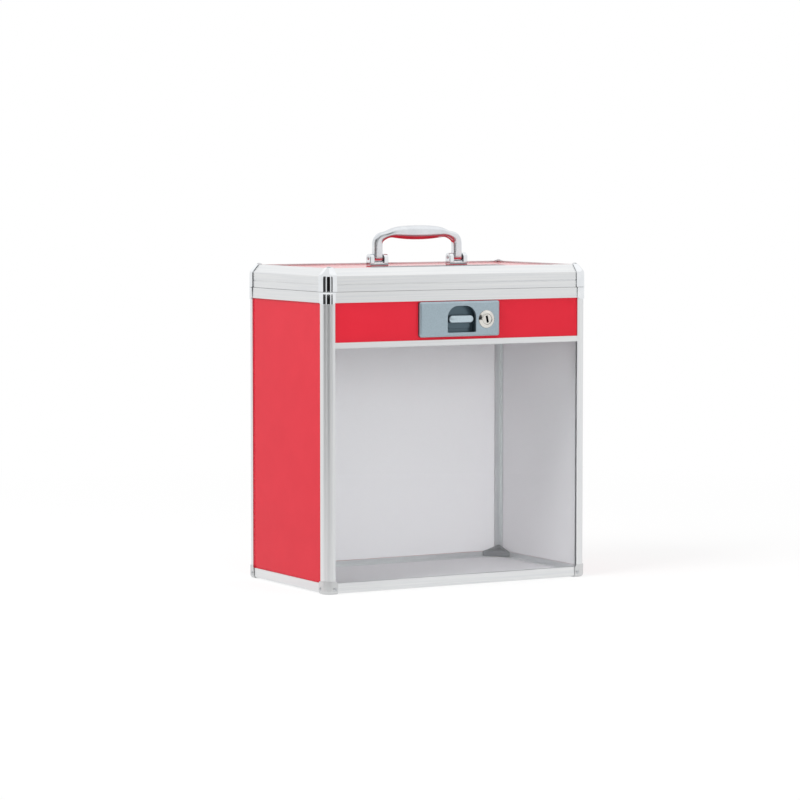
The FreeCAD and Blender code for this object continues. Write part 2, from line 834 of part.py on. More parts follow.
# Handle brackets, pins and screws
def bracket(side):
    middle = side * bracket_x
    low = lid_panel_top
    body = box(
        middle - bracket_half, middle + bracket_half, -bracket_deep, bracket_deep, low, low + bracket_base
    )
    uprights = edges_at(body, lambda b: b.ZLength > bracket_base - 0.01)
    body = body.makeFillet(ear_thickness / 2, uprights)
    for start in (middle - bracket_half, middle + bracket_half - ear_thickness):
        stop = start + ear_thickness
        body = body.fuse(box(start, stop, -ear_radius, ear_radius, low, pivot_z))
        body = body.fuse(rod(ear_radius, V(start, 0, pivot_z), V(ear_thickness, 0, 0)))
    bore = rod(handle_pin_radius + pin_play, V(middle - bracket_half, 0, pivot_z), V(2 * bracket_half, 0, 0))
    body = body.cut(bore)
    for drill in handle_drills:
        body = body.cut(drill)
    return one(body)


def handle_pin(side):
    reach = bracket_half + handle_pin_end
    start = V(side * bracket_x - reach, 0, pivot_z)
    return rod(handle_pin_radius, start, V(2 * reach, 0, 0))


parts["handle_bracket_left"] = bracket(-1)
parts["handle_bracket_right"] = bracket(1)
parts["handle_pins"] = group([handle_pin(side) for side in (-1, 1)])
handle_screws = []
for spot in handle_screw_spots:
    screw = fastener(
        handle_screw_radius, handle_screw_head, handle_screw_dome, spot, V(0, 0, -1), screw_reach
    )
    handle_screws.append(screw)
parts["handle_screws"] = group(handle_screws)

# Carrying handle: a bow lofted through rounded sections, with an eye at each foot
stations = [(-away, rise, thick, deep, square) for away, rise, thick, deep, square in handle_stations]
stations += [(away, rise, thick, deep, square) for away, rise, thick, deep, square in handle_stations[-2::-1]]
bow_wires = []
for number, (away, rise, thick, deep, square) in enumerate(stations):
    before = stations[max(number - 1, 0)]
    after = stations[min(number + 1, len(stations) - 1)]
    run = V(after[0] - before[0], 0, after[1] - before[1]).normalize()
    across = V(-run.z, 0, run.x)
    centre = V(away, 0, pivot_z + rise)
    spots = []
    for step in range(handle_points):
        angle = 2 * math.pi * step / handle_points
        c = math.cos(angle)
        s = math.sin(angle)
        a = math.copysign(abs(c) ** (2 / square), c) * thick / 2
        b = math.copysign(abs(s) ** (2 / square), s) * deep / 2
        spots.append(centre + across * a + V(0, b, 0))
    curve = Part.BSplineCurve()
    curve.interpolate(Points=spots, PeriodicFlag=True)
    bow_wires.append(Part.Wire([curve.toShape()]))
handle = Part.makeLoft(bow_wires, True, False)
for side in (-1, 1):
    start = V(side * bracket_x - handle_leg_width / 2, 0, pivot_z)
    run = V(handle_leg_width, 0, 0)
    handle = handle.fuse(rod(handle_eye_radius, start, run))
for side in (-1, 1):
    start = V(side * bracket_x - bracket_half, 0, pivot_z)
    run = V(2 * bracket_half, 0, 0)
    handle = handle.cut(rod(handle_pin_radius + pin_play, start, run))
parts["handle"] = handle.Solids[0]


# Lock plate: a bevelled casting with an arched pan behind the finger recess
def arch(grow, y0, y1):
    low = recess_low - grow
    high = recess_high + grow
    block = box(recess_x - recess_half - grow, recess_x + recess_half + grow, y0, y1, low, high)
    upper = edges_at(block, lambda b: b.ZMin > high - 0.01 and b.XLength < 0.01)
    block = block.makeFillet(recess_radius + grow, upper)
    lower = edges_at(block, lambda b: b.ZMax < low + 0.01 and b.XLength < 0.01)
    return block.makeFillet(recess_corner + grow, lower)


def plate_wire(inset, y):
    half_z = plate_height / 2 - inset
    return rounded_wire(plate_half_x - inset, half_z, plate_radius - inset, lambda a, b: V(a, y, lock_z + b))


plate_back_wire = plate_wire(0, plate_rear)
plate_edge = plate_face + plate_bevel_deep
plate = Part.Face(plate_back_wire).extrude(V(0, plate_edge - plate_rear, 0))
plate_chamfer = Part.makeLoft([plate_wire(0, plate_edge), plate_wire(plate_bevel, plate_face)], True, True)
plate = plate.fuse(plate_chamfer)
plate = plate.fuse(arch(pan_wall, plate_rear, pan_rear))
plate = plate.cut(arch(0, plate_face, recess_floor))
pin_slot_half = drive_pin_radius + screw_play
pin_slot = box(
    recess_x - pin_slot_half,
    recess_x + pin_slot_half,
    recess_floor,
    pan_rear,
    drive_pin_z - pin_slot_half,
    drive_pin_z + slide_travel + pin_slot_half,
)
plate = plate.cut(pin_slot)
barrel_hole = barrel_radius + barrel_play
plate = plate.cut(rod(barrel_hole, V(key_x, plate_face, key_z), V(0, plate_thickness, 0)))
lock_screw_spots = []
flange_rear = panel_rear + case_wall
for side in (-1, 1):
    for rise in (-lock_screw_rise, lock_screw_rise):
        lock_screw_spots.append(V(side * lock_screw_x, flange_rear, lock_z + rise))
lock_screw_grip = flange_rear - plate_rear + lock_screw_bite
lock_drills = []
for spot in lock_screw_spots:
    lock_drills.append(rod(lock_screw_radius + screw_play, spot, V(0, -lock_screw_grip - screw_play, 0)))
for drill in lock_drills:
    plate = plate.cut(drill)
parts["lock_plate"] = one(plate)

# Red panel behind the lock plate, with a square cut-out for the pan of the recess
lock_panel = box(-panel_x, panel_x, plate_rear, panel_rear, lock_panel_low, panel_high)
pan_clear = pan_wall + pan_play
pan_hole = box(
    recess_x - recess_half - pan_clear,
    recess_x + recess_half + pan_clear,
    plate_rear,
    panel_rear,
    recess_low - pan_clear,
    recess_high + pan_clear,
)
lock_panel = lock_panel.cut(pan_hole)
barrel_drill = rod(barrel_hole + pan_play, V(key_x, plate_rear, key_z), V(0, panel_thickness, 0))
lock_panel = lock_panel.cut(barrel_drill)
for drill in lock_drills:
    lock_panel = lock_panel.cut(drill)
parts["lock_panel"] = one(lock_panel)

# Lock case: a pressed cover behind the panel, with the guide of the bolt
case_low = lock_z - case_half_z
case_high = lock_z + case_half_z
cover = box(case_left, case_right, panel_rear, case_rear, case_low, case_high)
cover = cover.cut(
    box(
        case_left + case_wall,
        case_right - case_wall,
        panel_rear,
        case_rear - case_wall,
        case_low + case_wall,
        case_high - case_wall,
    )
)
cover = cover.fuse(box(-case_flange, case_left, panel_rear, flange_rear, case_low, case_high))
cover = cover.fuse(box(case_right, case_flange, panel_rear, flange_rear, case_low, case_high))
guide_low = tongue_low - guide_play - guide_wall
guide_front = bolt_front - guide_play - guide_wall
guide_rear = bolt_rear + guide_play + guide_wall
guide = box(guide_left, guide_right, guide_front, guide_rear, guide_low, case_high - case_wall)
guide = guide.cut(
    box(
        guide_left,
        guide_right,
        bolt_front - guide_play,
        bolt_rear + guide_play,
        tongue_low - guide_play,
        tongue_high + guide_play,
    )
)
cover = cover.fuse(guide)
keeper_way = box(
    keeper_x - keeper_thickness,
    keeper_right + keeper_thickness,
    shank_front - nose_reach - 3.5,
    case_rear - case_wall,
    case_high - case_wall,
    case_high,
)
cover = cover.cut(keeper_way)
for drill in lock_drills:
    cover = cover.cut(drill)
parts["lock_case"] = one(cover)
lock_screws = []
for spot in lock_screw_spots:
    screw = fastener(lock_screw_radius, lock_screw_head, lock_screw_dome, spot, V(0, 1, 0), lock_screw_grip)
    lock_screws.append(screw)
parts["lock_screws"] = group(lock_screws)

# Latch slide: a plate on the recess floor, the finger bar in front, the drive pin behind
slide_rear = recess_floor - slide_play
slide_front = slide_rear - slide_thickness
slide = box(recess_x - slide_half, recess_x + slide_half, slide_front, slide_rear, slide_low, slide_high)
slide = slide.makeFillet(slide_corner, edges_at(slide, lambda b: b.XLength < 0.01 and b.ZLength < 0.01))
bar_front = plate_face + bar_proud
bar = box(
    recess_x - bar_half, recess_x + bar_half, bar_front, slide_front, bar_z - bar_half_z, bar_z + bar_half_z
)
bar = bar.makeFillet(
    bar_half_z * 0.98, edges_at(bar, lambda b: b.XLength < 0.01 and b.ZLength < 0.01)
)
bar = bar.makeFillet(bar_round, edges_at(bar, lambda b: b.YMax < bar_front + 0.01))
pin_end = bolt_rear - drive_play
drive_pin = rod(drive_pin_radius, V(recess_x, slide_rear, drive_pin_z), V(0, pin_end - slide_rear, 0))
parts["latch_slide"] = one(slide.fuse(bar).fuse(drive_pin))
clip_start = V(recess_x, pan_rear + slide_play, drive_pin_z)
clip_run = V(0, clip_thickness, 0)
clip = rod(clip_radius, clip_start, clip_run).cut(rod(drive_pin_radius + pin_play, clip_start, clip_run))
parts["slide_clip"] = one(clip)

# Cross bolt with its slanted slot and the lug that the cam holds
bolt = box(tongue_tip, body_right, bolt_front, bolt_rear, tongue_low, tongue_high)
bolt = bolt.fuse(box(body_left, body_right, bolt_front, bolt_rear, body_low, tongue_high))
bolt = bolt.fuse(box(body_left, tail_right, bolt_front, bolt_rear, tail_low, tail_high))
lug_front = bolt_front - cam_gap - cam_thickness
bolt = bolt.fuse(box(tail_right - lug_width, tail_right, lug_front, bolt_front, lug_low, lug_high))
slot_radius = drive_pin_radius + drive_play
slot_start = V(recess_x, bolt_front, drive_pin_z)
slot_run = V(bolt_travel, 0, slide_travel)
slot_side = V(-slide_travel, 0, bolt_travel).normalize() * slot_radius
through = V(0, bolt_thickness, 0)
slanted = prism(
    [
        slot_start + slot_side,
        slot_start - slot_side,
        slot_start + slot_run - slot_side,
        slot_start + slot_run + slot_side,
    ],
    through,
)
slanted = slanted.fuse(rod(slot_radius, slot_start, through))
slanted = slanted.fuse(rod(slot_radius, slot_start + slot_run, through))
parts["cross_bolt"] = one(bolt.cut(slanted))

# Key cylinder: collar and barrel in one, held by a nut behind the panel
nut_front = panel_rear
barrel_end = nut_front + nut_thickness
collar_face = plate_face - collar_height
collar = rod(collar_radius, V(key_x, collar_face, key_z), V(0, collar_height, 0))
collar = collar.makeFillet(collar_round, edges_at(collar, lambda b: b.YMax < collar_face + 0.01))
barrel = rod(barrel_radius, V(key_x, plate_face, key_z), V(0, barrel_end - plate_face, 0))
plug_hole = plug_radius + plug_play
cylinder = collar.fuse(barrel)
cylinder = cylinder.cut(rod(plug_hole, V(key_x, collar_face, key_z), V(0, barrel_end - collar_face, 0)))
parts["lock_cylinder"] = one(cylinder)
nut_spots = []
for corner in range(6):
    angle = math.pi / 3 * corner + math.pi / 6
    reach = nut_flats / math.sqrt(3)
    nut_spots.append(V(key_x + reach * math.cos(angle), nut_front, key_z + reach * math.sin(angle)))
nut = prism(nut_spots, V(0, nut_thickness, 0))
nut = nut.cut(rod(barrel_radius + pin_play, V(key_x, nut_front, key_z), V(0, nut_thickness, 0)))
parts["cylinder_nut"] = one(nut)

# Key plug with its keyway, the cam behind it and the screw that holds the cam
plug_front = collar_face + plug_recess
cam_front = bolt_front - cam_gap - cam_thickness
cam_rear = cam_front + cam_thickness
plug = rod(plug_radius, V(key_x, plug_front, key_z), V(0, cam_front - plug_front, 0))
keyway = box(
    key_x - keyway_width / 2,
    key_x + keyway_width / 2,
    plug_front,
    plug_front + keyway_depth,
    key_z - keyway_height / 2,
    key_z + keyway_height / 2,
)
keyway.rotate(V(key_x, plug_front, key_z), V(0, 1, 0), -keyway_lean)
cam_screw_spot = V(key_x, cam_rear, key_z)
cam_drill = rod(
    cam_screw_radius + pin_play, cam_screw_spot, V(0, -cam_thickness - cam_screw_bite - pin_play, 0)
)
parts["key_plug"] = one(plug.cut(keyway).cut(cam_drill))
cam_start = V(key_x, cam_front, key_z)
cam_run = V(0, cam_thickness, 0)
ring = rod(cam_outer, cam_start, cam_run).cut(rod(cam_inner, cam_start, cam_run))


def sector(first, last):
    spots = [cam_start]
    steps = 6
    for step in range(steps + 1):
        angle = math.radians(first + (last - first) * step / steps)
        spots.append(cam_start + V(math.cos(angle), 0, math.sin(angle)) * (cam_outer * 1.2))
    return prism(spots, cam_run)


arm = rod(cam_outer, cam_start, cam_run).common(sector(cam_arm_start, cam_arm_end))
hook = ring.common(sector(cam_arm_start, cam_hook_end))
cam = rod(cam_hub, cam_start, cam_run).fuse(arm).fuse(hook).cut(cam_drill)
parts["key_cam"] = one(cam)
cam_grip = cam_thickness + cam_screw_bite
parts["cam_screw"] = fastener(
    cam_screw_radius, cam_screw_head, cam_screw_dome, cam_screw_spot, V(0, 1, 0), cam_grip
)

for name, shape in parts.items():
    shape.exportStep(f"parts/{name}.step")
print(len(parts), "sub-parts written")
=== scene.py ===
import json
import math
import bmesh
import bpy
from mathutils import Matrix, Vector


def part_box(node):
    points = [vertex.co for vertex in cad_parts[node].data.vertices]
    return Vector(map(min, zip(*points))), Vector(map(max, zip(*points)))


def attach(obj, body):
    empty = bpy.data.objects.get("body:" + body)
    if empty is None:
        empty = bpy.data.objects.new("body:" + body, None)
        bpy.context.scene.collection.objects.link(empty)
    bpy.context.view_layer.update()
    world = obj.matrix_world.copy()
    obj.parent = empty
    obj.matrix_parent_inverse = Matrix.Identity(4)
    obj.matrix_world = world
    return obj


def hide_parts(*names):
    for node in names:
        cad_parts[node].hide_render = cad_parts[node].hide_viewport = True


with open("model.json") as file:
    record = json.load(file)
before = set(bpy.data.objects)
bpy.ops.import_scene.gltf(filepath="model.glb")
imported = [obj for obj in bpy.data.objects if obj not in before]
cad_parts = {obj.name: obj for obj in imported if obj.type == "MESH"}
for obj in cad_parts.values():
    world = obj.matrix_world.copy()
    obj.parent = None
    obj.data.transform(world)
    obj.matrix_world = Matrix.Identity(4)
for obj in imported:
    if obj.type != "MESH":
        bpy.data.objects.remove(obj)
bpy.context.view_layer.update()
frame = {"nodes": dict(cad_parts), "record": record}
nodes = frame["nodes"]
scene = bpy.context.scene
mm = 0.001
print("frame:", len(nodes), "nodes")


# sRGB hex to the linear colour that the shaders want
def linear(hexColour):
    channels = [int(hexColour[start:start + 2], 16) / 255 for start in (1, 3, 5)]
    return [c / 12.92 if c <= 0.04045 else ((c + 0.055) / 1.055) ** 2.4 for c in channels] + [1.0]


# texture scale at which one feature of a pattern measures so many millimetres
def scaleFor(millimetres):
    return 1 / (millimetres * mm)


# one node with its settings, fixed inputs and links
def addNode(tree, kind, settings=None, inputs=None):
    node = tree.nodes.new(kind)
    for name, value in (settings or {}).items():
        setattr(node, name, value)
    for socket, value in (inputs or {}).items():
        if isinstance(value, bpy.types.NodeSocket):
            tree.links.new(value, node.inputs[socket])
        else:
            node.inputs[socket].default_value = value
    return node


def emptyTree(owner):
    owner.use_nodes = True
    owner.node_tree.nodes.clear()
    return owner.node_tree


def startMaterial(name, shader=None):
    material = bpy.data.materials.new(name)
    tree = emptyTree(material)
    surface = addNode(tree, "ShaderNodeBsdfPrincipled", {}, shader)
    addNode(tree, "ShaderNodeOutputMaterial", {}, {"Surface": surface.outputs[0]})
    place = addNode(tree, "ShaderNodeTexCoord")
    return material, tree, surface, place.outputs["Object"]


tintSpread = (0.3, 0.7)  # where in a pattern's range the first tint ends and the second begins


# A pattern drives the colour between a finish's two tints, the roughness between its two values
# and, where the finish has a depth in mm, the relief
def dressSurface(tree, surface, finish, pattern, relief=None):
    colours = addNode(tree, "ShaderNodeValToRGB", {}, {"Fac": pattern})
    for element, position, tint in zip(colours.color_ramp.elements, tintSpread, finish["tints"]):
        element.position = position
        element.color = linear(tint)
    tree.links.new(colours.outputs["Color"], surface.inputs["Base Color"])
    smooth, dull = finish["roughness"]
    rough = addNode(tree, "ShaderNodeMapRange", {}, {"Value": pattern, "To Min": smooth, "To Max": dull})
    tree.links.new(rough.outputs["Result"], surface.inputs["Roughness"])
    if "depth" in finish:
        height = pattern if relief is None else relief
        dents = {"Height": height, "Strength": finish["strength"], "Distance": finish["depth"] * mm}
        bump = addNode(tree, "ShaderNodeBump", {}, dents)
        tree.links.new(bump.outputs["Normal"], surface.inputs["Normal"])


# The colour turns to a darker one between two depths behind the front; on the lock lacquer this is painted
# shade
def darkenBehind(tree, surface, place, dark, shallow, deep):
    paint = surface.inputs["Base Color"].links[0].from_socket
    axes = addNode(tree, "ShaderNodeSeparateXYZ", {}, {"Vector": place})
    depthRange = {"Value": axes.outputs["Y"], "From Min": shallow * mm, "From Max": deep * mm}
    depth = addNode(tree, "ShaderNodeMapRange", {"interpolation_type": "SMOOTHSTEP"}, depthRange)
    toDarker = {"Factor": depth.outputs["Result"], 6: paint, 7: linear(dark)}  # 6 and 7 are the two colours
    layers = addNode(tree, "ShaderNodeMix", {"data_type": "RGBA"}, toDarker)
    tree.links.new(layers.outputs[2], surface.inputs["Base Color"])


# Anodised aluminium, extruded: a soft broad reflection with faint die lines along its length.
# Real die lines are about 0.3 mm apart; they are drawn at 1.4 mm so that they show.
aluminium = {
    "tints": ("#DCDEE0", "#E6E7E7"), "roughness": (0.30, 0.40), "line": 1.4, "run": 110.0, "detail": 2.0,
    "strength": 0.25, "depth": 0.02,
}


def anodisedAluminium(axis):
    material, tree, surface, place = startMaterial("anodisedAluminium" + axis, {"Metallic": 1.0})
    across, along = scaleFor(aluminium["line"]), scaleFor(aluminium["run"])
    stretch = [along if letter == axis else across for letter in "XYZ"]
    mapping = addNode(tree, "ShaderNodeMapping", {}, {"Vector": place, "Scale": stretch})
    dieLines = {"Vector": mapping.outputs[0], "Scale": 1.0, "Detail": aluminium["detail"]}
    lines = addNode(tree, "ShaderNodeTexNoise", {}, dieLines)
    dressSurface(tree, surface, aluminium, lines.outputs["Fac"])
    return material


# Red melamine laminate on hardboard, gloss pressed: deep even colour, a fine pressed pebble,
# and a clear sheen that whitens at a flat angle.
laminate = {
    "tints": ("#D72738", "#DB2A3B"), "roughness": (0.09, 0.15), "specular": 0.12, "cloud": 45.0,
    "detail": 3.0, "pebble": 0.9, "strength": 0.3, "depth": 0.02,
}
gloss = {"Specular IOR Level": laminate["specular"]}
redLaminate, tree, surface, place = startMaterial("redMelamineLaminate", gloss)
clouds = {"Vector": place, "Scale": scaleFor(laminate["cloud"]), "Detail": laminate["detail"]}
cloud = addNode(tree, "ShaderNodeTexNoise", {}, clouds)
pebble = addNode(tree, "ShaderNodeTexVoronoi", {}, {"Vector": place, "Scale": scaleFor(laminate["pebble"])})
dressSurface(tree, surface, laminate, cloud.outputs["Fac"], pebble.outputs["Distance"])

# Grey lining paper over board: matt and pale, with fibre bundles about 1.6 mm across.
lining = {
    "tints": ("#E7E4E7", "#EFECEF"), "roughness": (0.72, 0.85), "specular": 0.3, "fibre": 1.6, "detail": 4.0,
    "tangle": 0.7, "strength": 0.3, "depth": 0.04,
}
matt = {"Specular IOR Level": lining["specular"]}
greyLining, tree, surface, place = startMaterial("greyLiningPaper", matt)
fibres = {
    "Vector": place, "Scale": scaleFor(lining["fibre"]), "Detail": lining["detail"],
    "Roughness": lining["tangle"],
}
fibre = addNode(tree, "ShaderNodeTexNoise", {}, fibres)
dressSurface(tree, surface, lining, fibre.outputs["Fac"])

# Cast acrylic sheet: clear, glossy, a trace of wiping haze; lamp light passes straight through.
acrylic = {
    "colour": "#F6F9F9", "index": 1.49, "haze": (0.0, 0.03), "wipe": 30.0, "detail": 3.0, "wiped": (0.4, 0.9),
}
clearSheet = {"Base Color": linear(acrylic["colour"]), "IOR": acrylic["index"], "Transmission Weight": 1.0}
clearAcrylic, tree, surface, place = startMaterial("castAcrylic", clearSheet)
wipes = {"Vector": place, "Scale": scaleFor(acrylic["wipe"]), "Detail": acrylic["detail"]}
wipe = addNode(tree, "ShaderNodeTexNoise", {}, wipes)
hazeRange = {"Value": wipe.outputs["Fac"]}
hazeRange["From Min"], hazeRange["From Max"] = acrylic["wiped"]
hazeRange["To Min"], hazeRange["To Max"] = acrylic["haze"]
haze = addNode(tree, "ShaderNodeMapRange", {}, hazeRange)
tree.links.new(haze.outputs["Result"], surface.inputs["Roughness"])
rays = addNode(tree, "ShaderNodeLightPath")
through = addNode(tree, "ShaderNodeBsdfTransparent")
passing = {0: rays.outputs["Is Shadow Ray"], 1: surface.outputs[0], 2: through.outputs[0]}
pane = addNode(tree, "ShaderNodeMixShader", {}, passing)
tree.links.new(pane.outputs[0], tree.nodes["Material Output"].inputs["Surface"])

# Chrome plate on zinc castings and pressed caps: mirror bright; on the handle, hazed and a bit darker.
chrome = {
    "polishedChrome": {"tints": ("#DFE2E5", "#EAECEE"), "roughness": (0.05, 0.11)},
    "hazedChrome": {"tints": ("#D6D9DD", "#E1E4E7"), "roughness": (0.18, 0.27)},
    "smear": 14.0, "detail": 3.0,
}


def platedChrome(name):
    material, tree, surface, place = startMaterial(name, {"Metallic": 1.0})
    smears = {"Vector": place, "Scale": scaleFor(chrome["smear"]), "Detail": chrome["detail"]}
    smear = addNode(tree, "ShaderNodeTexNoise", {}, smears)
    dressSurface(tree, surface, chrome[name], smear.outputs["Fac"])
    return material


polishedChrome = platedChrome("polishedChrome")
hazedChrome = platedChrome("hazedChrome")

# Matt silver base caps, pressed and bead blasted: pale and soft, a fine grit.
# Grit of 0.15 mm is drawn at 0.7 mm.
silver = {
    "tints": ("#CDCECF", "#DADBDB"), "roughness": (0.36, 0.48), "grit": 0.7, "detail": 2.0,
    "strength": 0.3, "depth": 0.02,
}
mattSilver, tree, surface, place = startMaterial("beadBlastedSilver", {"Metallic": 1.0})
blasted = {"Vector": place, "Scale": scaleFor(silver["grit"]), "Detail": silver["detail"]}
grit = addNode(tree, "ShaderNodeTexNoise", {}, blasted)
dressSurface(tree, surface, silver, grit.outputs["Fac"])

# Zinc-plated steel: cool grey with a faint crystal mottle about 3 mm across.
zinc = {"tints": ("#BFC2C5", "#CBCDCF"), "roughness": (0.28, 0.40), "crystal": 3.0}
zincSteel, tree, surface, place = startMaterial("zincPlatedSteel", {"Metallic": 1.0})
crystal = addNode(tree, "ShaderNodeTexVoronoi", {}, {"Vector": place, "Scale": scaleFor(zinc["crystal"])})
dressSurface(tree, surface, zinc, crystal.outputs["Distance"])

# Grey metallic lacquer on the lock castings: aluminium flakes in a blue-grey binder, so it picks up the
# surroundings softly; a slight orange peel of about 1.5 mm. Deeper than the plate's front edge the colour
# turns dark grey: painted shade in the recess and on the sides of the plate and the latch bar.
lacquer = {
    "greyMetallicLacquer": ("#9BABB4", "#A4B4BD"), "paleBarLacquer": ("#B6C6CE", "#C0CFD7"),
    "metallic": 0.75, "roughness": (0.26, 0.36), "peel": 1.5, "detail": 1.0, "strength": 0.25, "depth": 0.03,
    # painted shade in the recess and on the sides: its dark grey, and the depths in mm where it starts and is
    # full
    "paintedShade": "#52636C", "paintedShadeFrom": -100.9, "paintedShadeFull": -99.2,
}


def metallicLacquer(name):
    material, tree, surface, place = startMaterial(name, {"Metallic": lacquer["metallic"]})
    orangePeel = {"Vector": place, "Scale": scaleFor(lacquer["peel"]), "Detail": lacquer["detail"]}
    peel = addNode(tree, "ShaderNodeTexNoise", {}, orangePeel)
    dressSurface(tree, surface, dict(lacquer, tints=lacquer[name]), peel.outputs["Fac"])
    # painted shade: dark grey deeper than the plate's front edge, in the recess and on the sides
    depths = lacquer["paintedShadeFrom"], lacquer["paintedShadeFull"]
    darkenBehind(tree, surface, place, lacquer["paintedShade"], *depths)
    return material


greyLacquer = metallicLacquer("greyMetallicLacquer")
# a paler copy of the grey lacquer, for the latch bar
paleLacquer = metallicLacquer("paleBarLacquer")

# Nickel-plated brass, turned: bright with rings about the key axis, near black deep in the keyway.
# Rings 0.1 mm apart are drawn at 0.6 mm.
nickel = {
    "tints": ("#D2D0CA", "#E0DED9"), "roughness": (0.12, 0.20), "axis": (35.6, 0.0, 316.25),
    "ring": 0.6, "wobble": 0.4, "strength": 0.2, "depth": 0.005,
    # near black deep in the keyway and round the plug: the colour, and the depths in mm where it starts and
    # is full
    "deepDark": "#1B1A19", "deepDarkFrom": -103.9, "deepDarkFull": -102.6,
}
turnedNickel, tree, surface, place = startMaterial("turnedNickel", {"Metallic": 1.0})
centre = [-coordinate * mm for coordinate in nickel["axis"]]
mapping = addNode(tree, "ShaderNodeMapping", {}, {"Vector": place, "Location": centre})
ringPhase = 20  # the wave node's phase grows by 20 per unit, so a ring is 2 pi / 20 wide at scale 1
ringScale = scaleFor(nickel["ring"]) * 2 * math.pi / ringPhase
turning = {"Vector": mapping.outputs[0], "Scale": ringScale, "Distortion": nickel["wobble"]}
rings = addNode(tree, "ShaderNodeTexWave", {"wave_type": "RINGS", "rings_direction": "Y"}, turning)
dressSurface(tree, surface, nickel, rings.outputs["Fac"])
# near black deep in the keyway and in the gap round the plug
darkenBehind(tree, surface, place, nickel["deepDark"], nickel["deepDarkFrom"], nickel["deepDarkFull"])

# Moulded nylon braces and moulded ABS slot trim: dark and mid grey, both with a matt spark-eroded skin.
# Their grain of 0.2 mm is drawn at 0.8 mm.
plastic = {
    "grain": 0.8, "detail": 2.0,
    "mouldedNylon": {
        "tints": ("#696A6E", "#77787C"), "roughness": (0.50, 0.62), "strength": 0.4, "depth": 0.04,
    },
    "mouldedAbs": {
        "tints": ("#888B8F", "#94979B"), "roughness": (0.42, 0.55), "strength": 0.4, "depth": 0.03,
    },
}


def mouldedPlastic(name):
    material, tree, surface, place = startMaterial(name)
    eroded = {"Vector": place, "Scale": scaleFor(plastic["grain"]), "Detail": plastic["detail"]}
    grain = addNode(tree, "ShaderNodeTexNoise", {}, eroded)
    dressSurface(tree, surface, plastic[name], grain.outputs["Fac"])
    return material


mouldedNylon = mouldedPlastic("mouldedNylon")
mouldedAbs = mouldedPlastic("mouldedAbs")

# CAD nodes that stay take the finish of their slot; an extrusion's die lines follow its length
finishes = {
    "red_panel": redLaminate, "grey_lining": greyLining, "clear_acrylic": clearAcrylic,
    "base_cap_silver": mattSilver, "chrome_trim": polishedChrome, "plated_steel": zincSteel,
    "lock_zinc": greyLacquer, "lock_nickel": turnedNickel, "dark_plastic": mouldedNylon,
    "slot_plastic": mouldedAbs,
}
extrusions = {axis: anodisedAluminium(axis) for axis in "XYZ"}
for part in frame["record"]["subparts"]:
    node = nodes[part["node"]]
    low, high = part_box(part["node"])
    size = list(high - low)
    material = finishes.get(part["material_slot"]) or extrusions["XYZ"[size.index(max(size))]]
    node.data.materials.clear()
    node.data.materials.append(material)
print("finishes:", len(bpy.data.materials), "materials")

finishing = {"merge": 0.004, "edgeSteps": 3, "edgeAngle": 32}  # mm, steps round an edge, degrees


# Finish a piece: millimetres to metres, smooth faces, modifiers, then its body, and the nodes
# it stands for are hidden
def finishPiece(name, bm, material, body, replaced, sharp=None, wall=None, edge=None, soft=0):
    bmesh.ops.remove_doubles(bm, verts=bm.verts, dist=finishing["merge"])
    bmesh.ops.recalc_face_normals(bm, faces=bm.faces)
    bmesh.ops.scale(bm, vec=(mm, mm, mm), verts=bm.verts)
    mesh = bpy.data.meshes.new(name)
    bm.to_mesh(mesh)
    bm.free()
    mesh.materials.append(material)
    mesh.polygons.foreach_set("use_smooth", [True] * len(mesh.polygons))
    if sharp:
        mesh.set_sharp_from_angle(angle=math.radians(sharp))
    piece = bpy.data.objects.new(name, mesh)
    scene.collection.objects.link(piece)
    if wall:  # the wall grows inwards from the faces
        sheet = piece.modifiers.new("wall", "SOLIDIFY")
        sheet.thickness, sheet.offset, sheet.use_even_offset = wall * mm, -1.0, True
    if edge:  # worn-round edges
        rounding = piece.modifiers.new("edge", "BEVEL")
        rounding.width, rounding.segments, rounding.harden_normals = edge * mm, finishing["edgeSteps"], True
        rounding.limit_method, rounding.angle_limit = "ANGLE", math.radians(finishing["edgeAngle"])
    if soft:
        skin = piece.modifiers.new("skin", "SUBSURF")
        skin.levels = skin.render_levels = soft
    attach(piece, body)
    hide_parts(*replaced)


def edgesOf(verts):
    return list({edge for vert in verts for edge in vert.link_edges})


def newEdges(result):
    return [item for item in result["geom"] if isinstance(item, bmesh.types.BMEdge)]


def newVerts(result):
    return [item for item in result["geom"] if isinstance(item, bmesh.types.BMVert)]


def everything(bm):
    return bm.verts[:] + bm.edges[:] + bm.faces[:]


# Local Z turned to a direction and set on a spot
def standingOn(spot, way):
    return Matrix.Translation(spot) @ Vector(way).to_track_quat("Z", "Y").to_matrix().to_4x4()


# Local X and Y laid on the front, seen from the front
def onFront(x, y, z):
    return Matrix.Translation((x, y, z)) @ Matrix.Rotation(math.pi / 2, 4, "X")


def addBox(bm, low, high):
    middle = [(a + b) / 2 for a, b in zip(low, high)]
    size = [b - a for a, b in zip(low, high)]
    place = Matrix.Translation(middle) @ Matrix.Diagonal((*size, 1.0))
    bmesh.ops.create_cube(bm, size=1.0, matrix=place)


# A (radius, height) profile spun right round an axis through a spot
def addTurned(bm, profile, spot, way, steps):
    place = standingOn(spot, way)
    chain = [bm.verts.new(place @ Vector((radius, 0, height))) for radius, height in profile]
    line = [bm.edges.new(pair) for pair in zip(chain, chain[1:])]
    bmesh.ops.spin(bm, geom=chain + line, cent=spot, axis=way, angle=2 * math.pi, steps=steps, use_merge=True)


